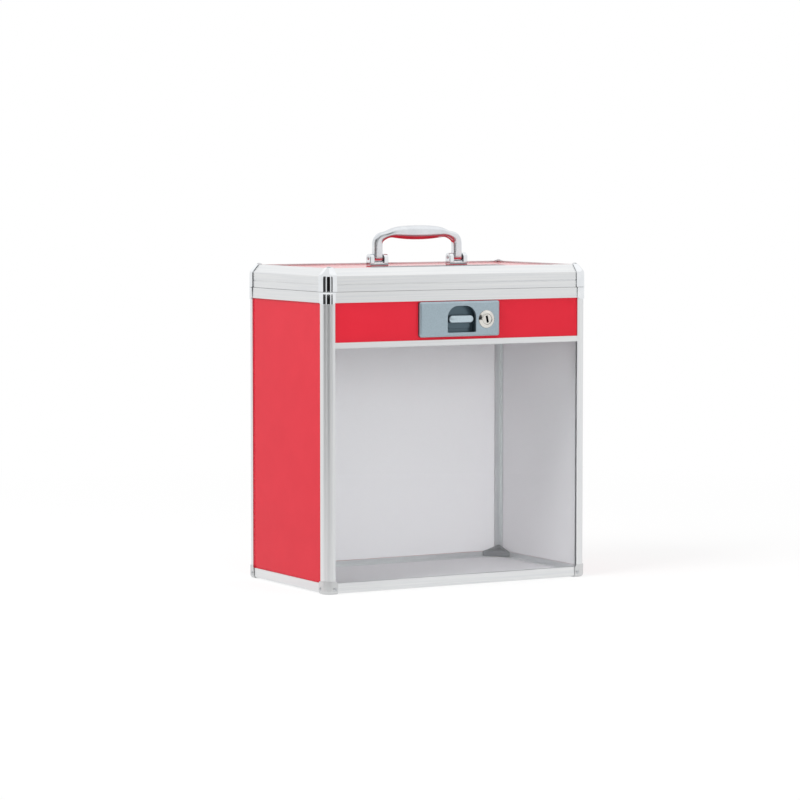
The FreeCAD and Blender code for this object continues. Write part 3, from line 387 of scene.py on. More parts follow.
# A circle pushed out to a rounded rectangle, the lower corners with a radius of their own
def addOutline(bm, halfWide, halfHigh, radius, place, lowRadius=None, steps=40):
    ring = bmesh.ops.create_circle(bm, segments=steps, radius=1.0)["verts"]
    perCorner = steps // 4
    for vert in ring:
        turned = math.atan2(vert.co.y, vert.co.x) % (2 * math.pi) / (2 * math.pi)
        corner, along = divmod(round(turned * steps) % steps, perCorner)
        swing = (corner + along / (perCorner - 1)) * math.pi / 2
        turn = radius if corner < 2 or lowRadius is None else lowRadius
        sideways = (halfWide - turn) * (1 if corner in (0, 3) else -1) + turn * math.cos(swing)
        upwards = (halfHigh - turn) * (1 if corner < 2 else -1) + turn * math.sin(swing)
        vert.co = place @ Vector((sideways, upwards, 0))
    return edgesOf(ring)


def bridgeAll(bm, loops):
    for first, second in zip(loops, loops[1:]):
        bmesh.ops.bridge_loops(bm, edges=first + second)


# Carrying handle: one chromed casting, round feet, flat legs, square shoulders, a neck, then a swelling grip
handleBow = {
    "pivot": 387.05, "around": 24, "soft": 2,
    # distance from the middle, rise above the pivot, thickness in the bow, depth, squareness
    "rings": [
        (55.0, -4.98, 10.4, 1.2, 4.0), (55.0, -4.7, 11.5, 3.6, 4.0), (55.0, -3.9, 11.8, 6.4, 4.0),
        (55.0, -2.4, 11.9, 8.8, 4.0), (55.0, 0.0, 11.9, 9.8, 4.4), (55.0, 6.0, 11.8, 9.5, 4.0),
        (55.0, 13.0, 11.8, 9.6, 3.6), (54.9, 18.2, 12.1, 9.8, 3.2), (54.0, 21.8, 12.7, 10.2, 2.9),
        (51.4, 24.6, 12.3, 10.8, 2.6), (47.4, 26.4, 10.4, 11.6, 2.5), (43.0, 27.7, 9.0, 12.8, 2.5),
        (38.6, 29.2, 9.8, 14.2, 2.5), (32.6, 30.4, 12.8, 15.6, 2.5), (21.0, 30.5, 16.2, 17.4, 2.5),
        (0.0, 30.3, 18.0, 18.4, 2.5),
    ],
}
rings = [(-ring[0], *ring[1:]) for ring in handleBow["rings"]] + handleBow["rings"][-2::-1]
bm = bmesh.new()
loops = []
for number, (away, rise, thick, deep, square) in enumerate(rings):
    before, after = rings[max(number - 1, 0)], rings[min(number + 1, len(rings) - 1)]
    run = Vector((after[0] - before[0], 0, after[1] - before[1])).normalized()
    centre = Vector((away, 0, handleBow["pivot"] + rise))
    ring = bmesh.ops.create_circle(bm, segments=handleBow["around"], radius=1.0)["verts"]
    for vert in ring:
        across = math.copysign(abs(vert.co.x) ** (2 / square), vert.co.x) * thick / 2
        sideways = math.copysign(abs(vert.co.y) ** (2 / square), vert.co.y) * deep / 2
        vert.co = centre + Vector((-run.z, 0, run.x)) * across + Vector((0, sideways, 0))
    loops.append(edgesOf(ring))
bridgeAll(bm, loops)
for foot in (loops[0], loops[-1]):
    bmesh.ops.edgeloop_fill(bm, edges=foot)
finishPiece("handleBow", bm, hazedChrome, "handle", ["handle"], soft=handleBow["soft"])

# Handle brackets: a foot plate with two round-topped ears, cast in one
ears = {
    "x": 55.0, "half": 12.6, "deep": 5.5, "thick": 6.2, "low": 377.45, "plate": 381.45, "top": 392.45,
    "round": 5.1, "roundSteps": 8, "edge": 0.9, "upright": 0.9, "slack": 0.01,
}
for side, pieceName, nodeName in ((-1, "handleEarsLeft", "handle_bracket_left"),
                                  (1, "handleEarsRight", "handle_bracket_right")):
    middle = side * ears["x"]
    bm = bmesh.new()
    low = (middle - ears["half"], -ears["deep"], ears["low"])
    high = (middle + ears["half"], ears["deep"], ears["plate"])
    addBox(bm, low, high)
    inside = ears["half"] - ears["thick"]
    for cut in (middle - inside, middle + inside):
        bmesh.ops.bisect_plane(bm, geom=everything(bm), plane_co=(cut, 0, 0), plane_no=(1, 0, 0))
    upward = [face for face in bm.faces if face.normal.z > ears["upright"]]
    tops = [face for face in upward if abs(face.calc_center_median().x - middle) > inside]
    for top in tops:
        grown = newVerts(bmesh.ops.extrude_face_region(bm, geom=[top]))
        bmesh.ops.translate(bm, verts=grown, vec=(0, 0, ears["top"] - ears["plate"]))
    bmesh.ops.delete(bm, geom=tops, context="FACES_ONLY")
    crowns = []  # upper edges along X
    for edge in bm.edges:
        first, second = (vert.co for vert in edge.verts)
        if min(first.z, second.z) > ears["top"] - ears["slack"] and abs(first.y - second.y) < ears["slack"]:
            crowns.append(edge)
    bmesh.ops.bevel(bm, geom=crowns, offset=ears["round"], segments=ears["roundSteps"], profile=0.5,
                    affect="EDGES", material=-1)
    finishPiece(pieceName, bm, polishedChrome, "lid", [nodeName], edge=ears["edge"])
print("handle and its brackets")

capCorner = {"x": -168.95, "y": -88.95, "steps": 10, "slack": 0.001}  # centre of the front left post's round


# Corner cap shell: a (reach, height, leg cut) section runs along the front leg, round the corner and along
# the side leg. The plate closes the end of the section that lies flat, over or under the frame corner.
def addCornerShell(bm, section, leg, plate=None):
    cornerX, cornerY, slack = capCorner["x"], capCorner["y"], capCorner["slack"]
    chain = [bm.verts.new((cornerX + leg - cut, cornerY - reach, height)) for reach, height, cut in section]
    line = [bm.edges.new(pair) for pair in zip(chain, chain[1:])]
    first = bmesh.ops.extrude_edge_only(bm, edges=line)
    for vert in newVerts(first):
        vert.co.x = cornerX
    turned = bmesh.ops.spin(bm, geom=newVerts(first) + newEdges(first), cent=(cornerX, cornerY, 0),
                            axis=(0, 0, 1), angle=-math.pi / 2, steps=capCorner["steps"])
    lastEdges = [item for item in turned["geom_last"] if isinstance(item, bmesh.types.BMEdge)]
    second = bmesh.ops.extrude_edge_only(bm, edges=lastEdges)
    for vert in newVerts(second):
        reached, high = cornerX - vert.co.x, vert.co.z
        nearest = min(section, key=lambda point: abs(point[1] - high) + abs(point[0] - reached))
        vert.co.y = cornerY + leg - nearest[2]
    if plate:
        height, cutBack = plate
        openEdges = [edge for edge in bm.edges if edge.is_boundary]
        rim = [edge for edge in openEdges if all(abs(vert.co.z - height) < slack for vert in edge.verts)]
        rimVerts = {vert for edge in rim for vert in edge.verts}
        ends = [vert for vert in rimVerts if sum(edge in rim for edge in vert.link_edges) == 1]
        ends.sort(key=lambda vert: vert.co.y)
        inner = [(leg, 0), (leg - cutBack, 0), (0, leg - cutBack), (0, leg)]
        inner = [bm.verts.new((cornerX + x, cornerY + y, height)) for x, y in inner]
        walk = [ends[0]] + inner + [ends[1]]
        rim += [bm.edges.new(pair) for pair in zip(walk, walk[1:])]
        bmesh.ops.edgeloop_fill(bm, edges=rim)


# One cap, then its mirror images at the other three corners
def makeCaps(name, cap, material, body, nodeName):
    bm = bmesh.new()
    addCornerShell(bm, cap["section"], cap["leg"], cap.get("plate"))
    bmesh.ops.recalc_face_normals(bm, faces=bm.faces)
    for axis in "XY":
        bmesh.ops.mirror(bm, geom=everything(bm), merge_dist=0.0, axis=axis)
    finishPiece(name, bm, material, body, [nodeName], wall=cap["wall"], edge=cap["edge"])


lidCap = {
    "leg": 4.95, "wall": 0.9, "edge": 0.22, "plate": (379.95, 1.13),
    "section": [
        (11.5, 351.9, 0), (11.45, 352.5, 0), (11.2, 353.2, 0), (11.05, 354.2, 0), (11.05, 366.8, 0),
        (10.92, 368.8, 0), (10.35, 370.9, 0), (8.9, 373.0, 0), (6.6, 375.6, 0), (4.6, 377.8, 0),
        (3.2, 379.2, 0), (2.0, 379.85, 0), (1.0, 379.95, 0),
    ],
}
makeCaps("lidCornerCaps", lidCap, polishedChrome, "lid", "lid_corner_caps")

rimCap = {
    "leg": 3.45, "wall": 0.9, "edge": 0.22,
    "section": [
        (11.45, 351.5, 0), (11.4, 350.9, 0), (11.15, 350.2, 0), (11.05, 349.2, 0), (11.05, 341.5, 0),
        (11.05, 339.9, 0.34), (11.05, 338.5, 1.3), (11.05, 337.8, 2.3), (11.05, 337.5, 3.2),
    ],
}
makeCaps("rimCornerCaps", rimCap, polishedChrome, "case", "rim_corner_caps")

baseCap = {
    "leg": 5.95, "wall": 0.9, "edge": 0.25, "plate": (0.0, 0.51),
    "section": [
        (7.0, 0.0, 0), (8.3, 0.22, 0), (9.45, 0.82, 0), (10.3, 1.75, 0), (10.85, 2.85, 0),
        (11.05, 4.05, 0), (11.05, 11.5, 0), (11.05, 13.1, 0.34), (11.05, 14.5, 1.3), (11.05, 15.2, 2.4),
        (11.05, 15.5, 3.6),
    ],
}
makeCaps("baseCornerCaps", baseCap, mattSilver, "case", "base_corner_caps")
print("corner caps: lid, rim and base")

# Blind rivets: a low dome with the dimple that the snapped mandrel leaves; those that hold the hinges
# to the lid show their tails inside
rivet = {
    "head": [
        (0, 0.36), (0.62, 0.36), (0.78, 0.72), (1.1, 0.8), (1.7, 0.68), (2.2, 0.42), (2.5, 0.14), (2.6, 0),
        (1.4, 0),
    ],
    "plainEnd": [(1.4, -1.0), (0, -1.0)],
    "tailEnd": [(1.4, -3.2), (2.6, -3.2), (2.3, -3.62), (1.4, -3.92), (0, -4.0)],
    # faces of the frame and the caps, then where the rivets sit
    "caseX": 178.95, "caseY": 98.95, "capX": 180.0, "capY": 100.0, "lidTop": 379.95,
    "baseIn": 12.0, "baseHigh": 6.5, "lidIn": 10.5, "hingeX": 100.0, "hingeSpread": 15.0, "leafFace": 100.55,
    "bodyLeafHigh": 344.7, "lidLeafHigh": 358.7, "around": 20, "sharp": 40,
}
baseSpots, lidSpots, bodyLeafSpots, lidLeafSpots = [], [], [], []
for sideX in (-1, 1):
    for sideY in (-1, 1):
        baseX, baseY = sideX * (rivet["caseX"] - rivet["baseIn"]), sideY * (rivet["caseY"] - rivet["baseIn"])
        baseSpots.append(((baseX, sideY * rivet["capY"], rivet["baseHigh"]), (0, sideY, 0)))
        baseSpots.append(((sideX * rivet["capX"], baseY, rivet["baseHigh"]), (sideX, 0, 0)))
        lidX, lidY = sideX * (rivet["caseX"] - rivet["lidIn"]), sideY * (rivet["caseY"] - rivet["lidIn"])
        lidSpots.append(((lidX, lidY, rivet["lidTop"]), (0, 0, 1)))
    for spread in (-rivet["hingeSpread"], rivet["hingeSpread"]):
        hingeX = sideX * rivet["hingeX"] + spread
        bodyLeafSpots.append(((hingeX, rivet["leafFace"], rivet["bodyLeafHigh"]), (0, 1, 0)))
        lidLeafSpots.append(((hingeX, rivet["leafFace"], rivet["lidLeafHigh"]), (0, 1, 0)))
rivetRows = {
    "baseRivets": ("case", "base_cap_rivets", baseSpots, "plainEnd"),
    "lidRivets": ("lid", "lid_cap_rivets", lidSpots, "plainEnd"),
    "hingeBodyRivets": ("case", "hinge_body_rivets", bodyLeafSpots, "plainEnd"),
    "hingeLidRivets": ("lid", "hinge_lid_rivets", lidLeafSpots, "tailEnd"),
}
for name, (body, nodeName, spots, end) in rivetRows.items():
    bm = bmesh.new()
    for spot, way in spots:
        addTurned(bm, rivet["head"] + rivet[end], spot, way, rivet["around"])
    finishPiece(name, bm, zincSteel, body, [nodeName], sharp=rivet["sharp"])
print("rivets:", sum(len(row[2]) for row in rivetRows.values()))

screwHead = {
    "crossShare": 0.56, "crossDeep": 0.7, "cornerCell": 0.8, "around": 24, "sharp": 35,
    # share of the radius, share of the rise
    "dome": [(0.66, 1.0), (0.8, 0.93), (0.91, 0.76), (0.98, 0.5), (1.0, 0.28), (1.0, 0.0)],
}


# Pan-head screw with a cross recess, its flat top and dome above the spot and its shank behind
def addCrossScrew(bm, spot, way, radius, rise, shank, grip):
    place = standingOn(spot, way)
    high = place @ Matrix.Translation((0, 0, rise))
    reach = radius * screwHead["crossShare"]
    corners = bmesh.ops.create_grid(bm, x_segments=3, y_segments=3, size=reach, matrix=high)["verts"]
    cells = list({face for vert in corners for face in vert.link_faces})
    middle = high.to_translation()
    far = reach * screwHead["cornerCell"]  # only the four corner cells lie further out
    offCross = [cell for cell in cells if (cell.calc_center_median() - middle).length > far]
    bmesh.ops.delete(bm, geom=offCross, context="FACES")
    cross = [cell for cell in cells if cell.is_valid]
    rim = [edge for edge in {edge for cell in cross for edge in cell.edges} if edge.is_boundary]
    walls = bmesh.ops.extrude_edge_only(bm, edges=rim)
    bmesh.ops.translate(bm, verts=newVerts(walls), vec=Vector(way) * -rise * screwHead["crossDeep"])
    bmesh.ops.delete(bm, geom=cross, context="FACES")
    bmesh.ops.contextual_create(bm, geom=newEdges(walls))
    circles = [(radius * share, rise * height) for share, height in screwHead["dome"]]
    circles += [(shank, 0), (shank, -grip)]
    loops = []
    for size, height in circles:
        lift = place @ Matrix.Translation((0, 0, height))
        circle = bmesh.ops.create_circle(bm, segments=screwHead["around"], radius=size, matrix=lift)
        loops.append(edgesOf(circle["verts"]))
    bridgeAll(bm, loops)
    bmesh.ops.triangle_fill(bm, edges=rim + loops[0], use_beauty=True)
    bmesh.ops.edgeloop_fill(bm, edges=loops[-1])


screwRows = {
    "lockScrews": {
        "body": "case", "node": "lock_screws", "way": (0, 1, 0),
        "sizes": {"radius": 2.7, "rise": 1.6, "shank": 1.5, "grip": 8.2},
        "spots": [(x, -93.15, z) for x in (-51.3, 51.3) for z in (302.25, 332.25)],
    },
    "handleScrews": {
        "body": "lid", "node": "handle_screws", "way": (0, 0, -1),
        "sizes": {"radius": 3.0, "rise": 1.6, "shank": 1.5, "grip": 9.0},
        "spots": [(x, 0.0, 373.45) for x in (-64.5, -45.5, 45.5, 64.5)],
    },
    "keeperScrews": {
        "body": "lid", "node": "keeper_screws", "way": (0, 0, -1),
        "sizes": {"radius": 2.2, "rise": 1.2, "shank": 1.2, "grip": 5.1},
        "spots": [(x, -88.95, 371.35) for x in (-45.5, -31.5)],
    },
}
for name, row in screwRows.items():
    bm = bmesh.new()
    for spot in row["spots"]:
        addCrossScrew(bm, spot, row["way"], **row["sizes"])
    finishPiece(name, bm, zincSteel, row["body"], [row["node"]], sharp=screwHead["sharp"])
print("screws:", sum(len(row["spots"]) for row in screwRows.values()))

# Floor braces: a moulded three-cornered block, its sloping top sunk inside a rim
brace = {
    "x": 172.65, "y": 92.65, "z": 7.35, "leg": 25.0, "high": 13.0, "low": 6.0, "rim": 2.2, "lip": 0.55,
    "sunk": 2.4, "edge": 0.5, "upright": 0.3, "slack": 0.1,
}
bm = bmesh.new()
feet = [(0, 0), (-brace["leg"], 0), (0, -brace["leg"])]
foot = bm.faces.new([bm.verts.new((brace["x"] + x, brace["y"] + y, brace["z"])) for x, y in feet])
for vert in newVerts(bmesh.ops.extrude_face_region(bm, geom=[foot])):
    inCorner = vert.co.x > brace["x"] - brace["slack"] and vert.co.y > brace["y"] - brace["slack"]
    vert.co.z = brace["z"] + (brace["high"] if inCorner else brace["low"])
bmesh.ops.recalc_face_normals(bm, faces=bm.faces)
top = [face for face in bm.faces if face.normal.z > brace["upright"]]
bmesh.ops.inset_region(bm, faces=top, thickness=brace["rim"], use_even_offset=True)
bmesh.ops.inset_region(bm, faces=top, thickness=brace["lip"], depth=-brace["sunk"], use_even_offset=True)
bmesh.ops.mirror(bm, geom=everything(bm), merge_dist=0.0, axis="X")
finishPiece("floorBraces", bm, mouldedNylon, "case", ["inner_corner_braces"],
            edge=brace["edge"])
print("floor braces")

# Lock plate: bevelled casting, arched finger recess with a closed pan behind it, round hole for the cylinder
lock = {
    "x": 0.0, "z": 317.25, "halfWide": 54.8, "halfHigh": 20.75, "radius": 3.0, "bevel": 2.2,
    "bevelShare": 0.6,  # share of the bevel by which its corners turn tighter
    "rear": -97.35, "edgeAt": -100.95, "face": -102.95, "edge": 0.45,
    "recessX": 1.9, "recessZ": 316.95, "recessWide": 19.5, "recessHigh": 15.7, "archRadius": 14.0,
    "footRadius": 1.5, "floor": -93.55, "panRear": -92.05, "panWall": 1.5,
    "keyX": 35.6, "keyZ": 316.25, "barrel": 8.1,
    "hairline": 0.01,  # straight left between the rounds of a circle, so that no two points meet
}
bm = bmesh.new()
outside, recess, pan, barrel = [], [], [], []
for inset, depth in ((0, "rear"), (0, "edgeAt"), (lock["bevel"], "face")):
    place = onFront(lock["x"], lock[depth], lock["z"])
    radius = lock["radius"] - inset * lock["bevelShare"]
    outside.append(addOutline(bm, lock["halfWide"] - inset, lock["halfHigh"] - inset, radius, place))
for loops, wall, depths in ((recess, 0, ("face", "floor")), (pan, lock["panWall"], ("rear", "panRear"))):
    wide, high = lock["recessWide"] + wall, lock["recessHigh"] + wall
    for depth in depths:
        place = onFront(lock["recessX"], lock[depth], lock["recessZ"])
        loops.append(addOutline(bm, wide, high, lock["archRadius"] + wall, place, lock["footRadius"] + wall))
for depth in ("face", "rear"):
    place = onFront(lock["keyX"], lock[depth], lock["keyZ"])
    barrel.append(addOutline(bm, lock["barrel"], lock["barrel"], lock["barrel"] - lock["hairline"], place))
for loops in (outside, recess, pan, barrel):
    bridgeAll(bm, loops)
bmesh.ops.triangle_fill(bm, edges=outside[-1] + recess[0] + barrel[0], use_beauty=True)
bmesh.ops.triangle_fill(bm, edges=outside[0] + pan[0] + barrel[1], use_beauty=True)
bmesh.ops.edgeloop_fill(bm, edges=recess[1])
bmesh.ops.edgeloop_fill(bm, edges=pan[1])
finishPiece("lockPlate", bm, greyLacquer, "case", ["lock_plate"], edge=lock["edge"])

# Latch slide: a thin plate on the recess floor with a rounded finger bar standing on it
slide = {
    "x": 1.9, "plateHalf": 15.0, "plateLow": 305.65, "plateHigh": 319.85, "plateFront": -95.25,
    "plateRear": -93.75, "corner": 3.0, "barHalf": 16.6, "barHigh": 4.45, "barZ": 316.95, "hairline": 0.02,
    "edge": 0.25, "sharp": 50,
    "rounds": [(0, 0), (0, 5.6), (0.25, 6.4), (0.85, 7.05), (1.7, 7.4)],  # inset, rise from the plate
}
bm = bmesh.new()
plateZ = (slide["plateLow"] + slide["plateHigh"]) / 2
plateHalfHigh = (slide["plateHigh"] - slide["plateLow"]) / 2
plateLoops, barLoops = [], []
for depth in ("plateRear", "plateFront"):
    place = onFront(slide["x"], slide[depth], plateZ)
    plateLoops.append(addOutline(bm, slide["plateHalf"], plateHalfHigh, slide["corner"], place))
for inset, rise in slide["rounds"]:
    place = onFront(slide["x"], slide["plateFront"] - rise, slide["barZ"])
    high = slide["barHigh"] - inset
    barLoops.append(addOutline(bm, slide["barHalf"] - inset, high, high - slide["hairline"], place))
for loops in (plateLoops, barLoops):
    bridgeAll(bm, loops)
    bmesh.ops.edgeloop_fill(bm, edges=loops[0])
    bmesh.ops.edgeloop_fill(bm, edges=loops[-1])
finishPiece("latchBar", bm, paleLacquer, "latch", ["latch_slide"],
            sharp=slide["sharp"], edge=slide["edge"])

# Key cylinder: a domed collar that dips to the plug, and the plug with its slanting keyway
cylinder = {
    "x": 35.6, "y": -97.4, "z": 316.25, "around": 48, "sharp": 45,
    # radius, height above the panel
    "collar": [
        (10.8, 0.0), (10.8, 5.6), (10.66, 5.95), (10.3, 6.22), (7.6, 7.46), (7.2, 7.66), (6.85, 7.75),
        (6.55, 7.68), (6.4, 7.45), (6.4, -1.4), (8.0, -1.4), (8.0, 0.0), (10.8, 0.0),
    ],
    "plugRadius": 6.2, "plugFace": -104.65, "plugRear": -92.4, "plugChamfer": 0.35, "hairline": 0.01,
    "wayWide": 1.5, "wayHigh": 4.3, "wayRound": 0.6, "wayLean": 12.0, "wayDeep": 9.0, "waySteps": 24,
}
bm = bmesh.new()
foot = (cylinder["x"], cylinder["y"], cylinder["z"])
addTurned(bm, cylinder["collar"], foot, (0, -1, 0), cylinder["around"])
finishPiece("lockCollar", bm, turnedNickel, "case", ["lock_cylinder"], sharp=cylinder["sharp"])

bm = bmesh.new()
face, chamfer = cylinder["plugFace"], cylinder["plugChamfer"]
plugRings, keyway = [], []
for inset, y in ((0, cylinder["plugRear"]), (0, face + chamfer), (chamfer, face)):
    radius = cylinder["plugRadius"] - inset
    place = onFront(cylinder["x"], y, cylinder["z"])
    plugRound = radius - cylinder["hairline"]
    plugRings.append(addOutline(bm, radius, radius, plugRound, place, steps=cylinder["around"]))
bridgeAll(bm, plugRings)
bmesh.ops.edgeloop_fill(bm, edges=plugRings[0])
lean = Matrix.Rotation(math.radians(cylinder["wayLean"]), 4, "Z")
for y in (face, face + cylinder["wayDeep"]):
    place = onFront(cylinder["x"], y, cylinder["z"]) @ lean
    keyway.append(addOutline(bm, cylinder["wayWide"], cylinder["wayHigh"], cylinder["wayRound"], place,
                             steps=cylinder["waySteps"]))
bridgeAll(bm, keyway)
bmesh.ops.edgeloop_fill(bm, edges=keyway[1])
bmesh.ops.triangle_fill(bm, edges=plugRings[-1] + keyway[0], use_beauty=True)
finishPiece("keyPlug", bm, turnedNickel, "key_plug", ["key_plug"], sharp=cylinder["sharp"])
print("lock: plate, latch bar, collar, plug")

# Slot trim: a moulded frame round the ballot slot, rounded lip on the lid, throat through the lid
slotFrame = {
    "y": -52.0, "halfLong": 80.0, "halfWide": 5.0, "sharp": 40,
    # growth outside the slot, height, corner radius
    "loops": [
        (0.0, 372.45, 0.6), (0.0, 378.1, 0.6), (0.25, 378.45, 0.85), (0.8, 378.65, 1.4), (6.6, 378.65, 2.6),
        (7.4, 378.45, 3.4), (7.9, 378.0, 3.9), (8.0, 377.45, 4.0), (1.3, 377.45, 1.4), (1.3, 372.45, 1.4),
    ],
}
bm = bmesh.new()
trimLoops = []
for grow, height, radius in slotFrame["loops"]:
    place = Matrix.Translation((0, slotFrame["y"], height))
    long, wide = slotFrame["halfLong"] + grow, slotFrame["halfWide"] + grow
    trimLoops.append(addOutline(bm, long, wide, radius, place))
bridgeAll(bm, trimLoops + trimLoops[:1])
finishPiece("slotFrame", bm, mouldedAbs, "lid", ["slot_trim"], sharp=slotFrame["sharp"])
print("slot trim")


# 1 where the camera, a mirror or glass sees a surface, 0 where it only gives or takes light
def seenBy(tree):
    rays = addNode(tree, "ShaderNodeLightPath")
    mirrored = {0: rays.outputs["Is Camera Ray"], 1: rays.outputs["Is Glossy Ray"]}
    seen = addNode(tree, "ShaderNodeMath", {"operation": "MAXIMUM"}, mirrored)
    throughGlass = {0: seen.outputs[0], 1: rays.outputs["Is Transmission Ray"]}
    return addNode(tree, "ShaderNodeMath", {"operation": "MAXIMUM"}, throughGlass).outputs[0]


def addStage(name, bm, material):
    mesh = bpy.data.meshes.new(name)
    bm.to_mesh(mesh)
    bm.free()
    mesh.materials.append(material)
    backdrop = bpy.data.objects.new(name, mesh)
    scene.collection.objects.link(backdrop)


# Floor: pale paper to the light; seen, it holds the shadow near the box and fades to white with distance
floor = {"size": 12.0, "pale": "#E7E7E7", "shaded": "#8B8B8B", "lit": 0.9, "near": 0.35, "far": 1.5}
floorMaterial = bpy.data.materials.new("paleFloor")
tree = emptyTree(floorMaterial)
place = addNode(tree, "ShaderNodeTexCoord")
reach = addNode(tree, "ShaderNodeVectorMath", {"operation": "LENGTH"}, {0: place.outputs["Object"]})
fadeRange = {"Value": reach.outputs["Value"], "From Min": floor["near"], "From Max": floor["far"]}
fade = addNode(tree, "ShaderNodeMapRange", {}, fadeRange)
plainFloor = addNode(tree, "ShaderNodeBsdfDiffuse", {}, {"Color": linear(floor["pale"])})
shade = linear(floor["shaded"])
shadowFloor = addNode(tree, "ShaderNodeBsdfDiffuse", {}, {"Color": shade})
topUp = 1 - shade[0] * floor["lit"]  # makes the lit shade up to white
glow = addNode(tree, "ShaderNodeEmission", {}, {"Strength": topUp})
nearFloor = addNode(tree, "ShaderNodeAddShader", {}, {0: shadowFloor.outputs[0], 1: glow.outputs[0]})
farFloor = addNode(tree, "ShaderNodeEmission", {}, {"Strength": 1.0})
fading = {0: fade.outputs["Result"], 1: nearFloor.outputs[0], 2: farFloor.outputs[0]}
whiteFloor = addNode(tree, "ShaderNodeMixShader", {}, fading)
choice = {0: seenBy(tree), 1: plainFloor.outputs[0], 2: whiteFloor.outputs[0]}
paper = addNode(tree, "ShaderNodeMixShader", {}, choice)
addNode(tree, "ShaderNodeOutputMaterial", {}, {"Surface": paper.outputs[0]})
bm = bmesh.new()
bmesh.ops.create_grid(bm, x_segments=1, y_segments=1, size=floor["size"] / 2)
addStage("floor", bm, floorMaterial)

# World: white where it is seen, dimmer as light
studio = {"colour": "#FFFFFF", "light": 0.59}
scene.world = bpy.data.worlds.new("studio")
tree = emptyTree(scene.world)
levels = {"Value": seenBy(tree), "To Min": studio["light"], "To Max": 1.0}
level = addNode(tree, "ShaderNodeMapRange", {}, levels)
white = {"Color": linear(studio["colour"]), "Strength": level.outputs["Result"]}
sky = addNode(tree, "ShaderNodeBackground", {}, white)
addNode(tree, "ShaderNodeOutputWorld", {}, {"Surface": sky.outputs[0]})

# Side and front lamps only fill; metal mirrors the white surroundings, the cards and the two faint lamps
lamps = {
    "sideLamp": {"place": (-1.8, -0.4, 2.2), "size": 1.2, "power": 37.0, "mirrored": False},
    "frontLamp": {"place": (-0.62, -2.5, 0.5), "size": 1.3, "power": 23.0, "mirrored": False},
    "topLamp": {"place": (1.1, -0.3, 2.25), "size": 2.6, "power": 3.6, "mirrored": True},
    "rearLamp": {"place": (-0.2, 2.0, 1.5), "size": 1.4, "power": 1.0, "mirrored": True},
}
lampAim = Vector((0, 0, 0.2))
for name, lamp in lamps.items():
    lampData = bpy.data.lights.new(name, "AREA")
    lampData.size = lamp["size"]
    lampData.energy = lamp["power"]
    lampObject = bpy.data.objects.new(name, lampData)
    lampObject.visible_glossy = lamp["mirrored"]
    lampObject.matrix_world = standingOn(lamp["place"], Vector(lamp["place"]) - lampAim)
    scene.collection.objects.link(lampObject)
print("stage: floor, world and", len(lamps), "lamps")

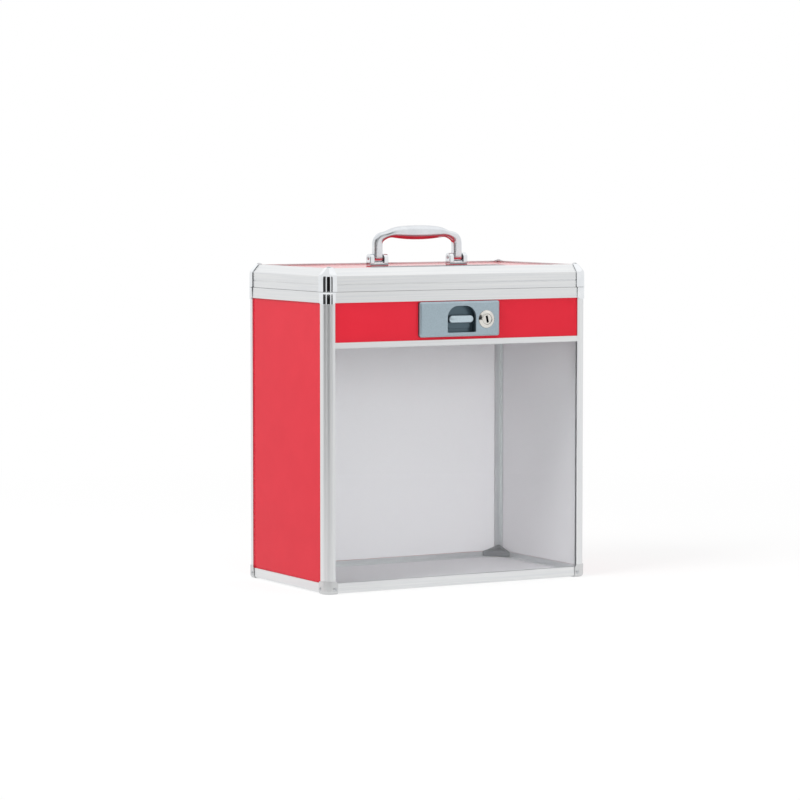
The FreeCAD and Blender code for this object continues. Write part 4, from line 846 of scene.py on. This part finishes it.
# Dark cards that only mirrors see: they draw the upright stripes in round chrome, soft at the edges
# as a cloth flag is
cards = {
    "distance": 2.4, "low": 0.02, "high": 1.9, "softSide": 0.16, "softTop": 0.3,
    # first and last angle round the box, in degrees from the front to the left, and colour
    "spans": {
        "cardLeft": (62, 102, "#3F3F3F"), "cardMiddle": (11, 57, "#191919"), "cardRight": (-14, 3, "#505050"),
    },
}
softly = {"interpolation_type": "SMOOTHSTEP"}
for name, (start, stop, colour) in cards["spans"].items():
    cardMaterial = bpy.data.materials.new(name)
    tree = emptyTree(cardMaterial)
    rays = addNode(tree, "ShaderNodeLightPath")
    cloth = addNode(tree, "ShaderNodeTexCoord")
    axes = addNode(tree, "ShaderNodeSeparateXYZ", {}, {"Vector": cloth.outputs["UV"]})
    fromSide = addNode(tree, "ShaderNodeMath", {"operation": "PINGPONG"}, {0: axes.outputs["X"], 1: 0.5})
    sideRange = {"Value": fromSide.outputs[0], "From Max": cards["softSide"]}
    sideFade = addNode(tree, "ShaderNodeMapRange", softly, sideRange)
    topRange = {"Value": axes.outputs["Y"], "From Min": 1.0, "From Max": 1 - cards["softTop"]}
    topFade = addNode(tree, "ShaderNodeMapRange", softly, topRange)
    edges = {0: sideFade.outputs[0], 1: topFade.outputs[0]}
    fade = addNode(tree, "ShaderNodeMath", {"operation": "MULTIPLY"}, edges)
    mirrored = {0: fade.outputs[0], 1: rays.outputs["Is Glossy Ray"]}
    cover = addNode(tree, "ShaderNodeMath", {"operation": "MULTIPLY"}, mirrored)
    clear = addNode(tree, "ShaderNodeBsdfTransparent")
    dark = addNode(tree, "ShaderNodeEmission", {}, {"Color": linear(colour)})
    covering = {0: cover.outputs[0], 1: clear.outputs[0], 2: dark.outputs[0]}
    shown = addNode(tree, "ShaderNodeMixShader", {}, covering)
    addNode(tree, "ShaderNodeOutputMaterial", {}, {"Surface": shown.outputs[0]})
    middle, half = math.radians((start + stop) / 2), math.radians((stop - start) / 2)
    way = Vector((-math.sin(middle), -math.cos(middle), 0))
    wide, high = 2 * cards["distance"] * math.tan(half), cards["high"] - cards["low"]
    spot = way * cards["distance"] + Vector((0, 0, (cards["high"] + cards["low"]) / 2))
    bm = bmesh.new()
    bm.loops.layers.uv.new("cloth")
    bmesh.ops.create_grid(bm, x_segments=1, y_segments=1, size=0.5, calc_uvs=True,
                          matrix=standingOn(spot, way) @ Matrix.Diagonal((wide, high, 1.0, 1.0)))
    addStage(name, bm, cardMaterial)
print("dark cards:", len(cards["spans"]))

# Camera at the photograph's place
view = {
    "turn": 29.595, "rise": 4.077, "distance": 3.9104, "aimRight": -0.02065, "aimHeight": 0.2150,
    "lens": 145.6, "sensor": 36.0,
}
turn, rise = math.radians(view["turn"]), math.radians(view["rise"])
away = Vector((-math.sin(turn) * math.cos(rise), -math.cos(turn) * math.cos(rise), math.sin(rise)))
aim = Vector((0, 0, view["aimHeight"])) + Vector((math.cos(turn), -math.sin(turn), 0)) * view["aimRight"]
cameraData = bpy.data.cameras.new("camera")
cameraData.lens, cameraData.sensor_width = view["lens"], view["sensor"]
camera = bpy.data.objects.new("camera", cameraData)
camera.matrix_world = standingOn(aim + away * view["distance"], away)
scene.collection.objects.link(camera)
scene.camera = camera
scene.view_settings.view_transform = "Standard"
print("camera")
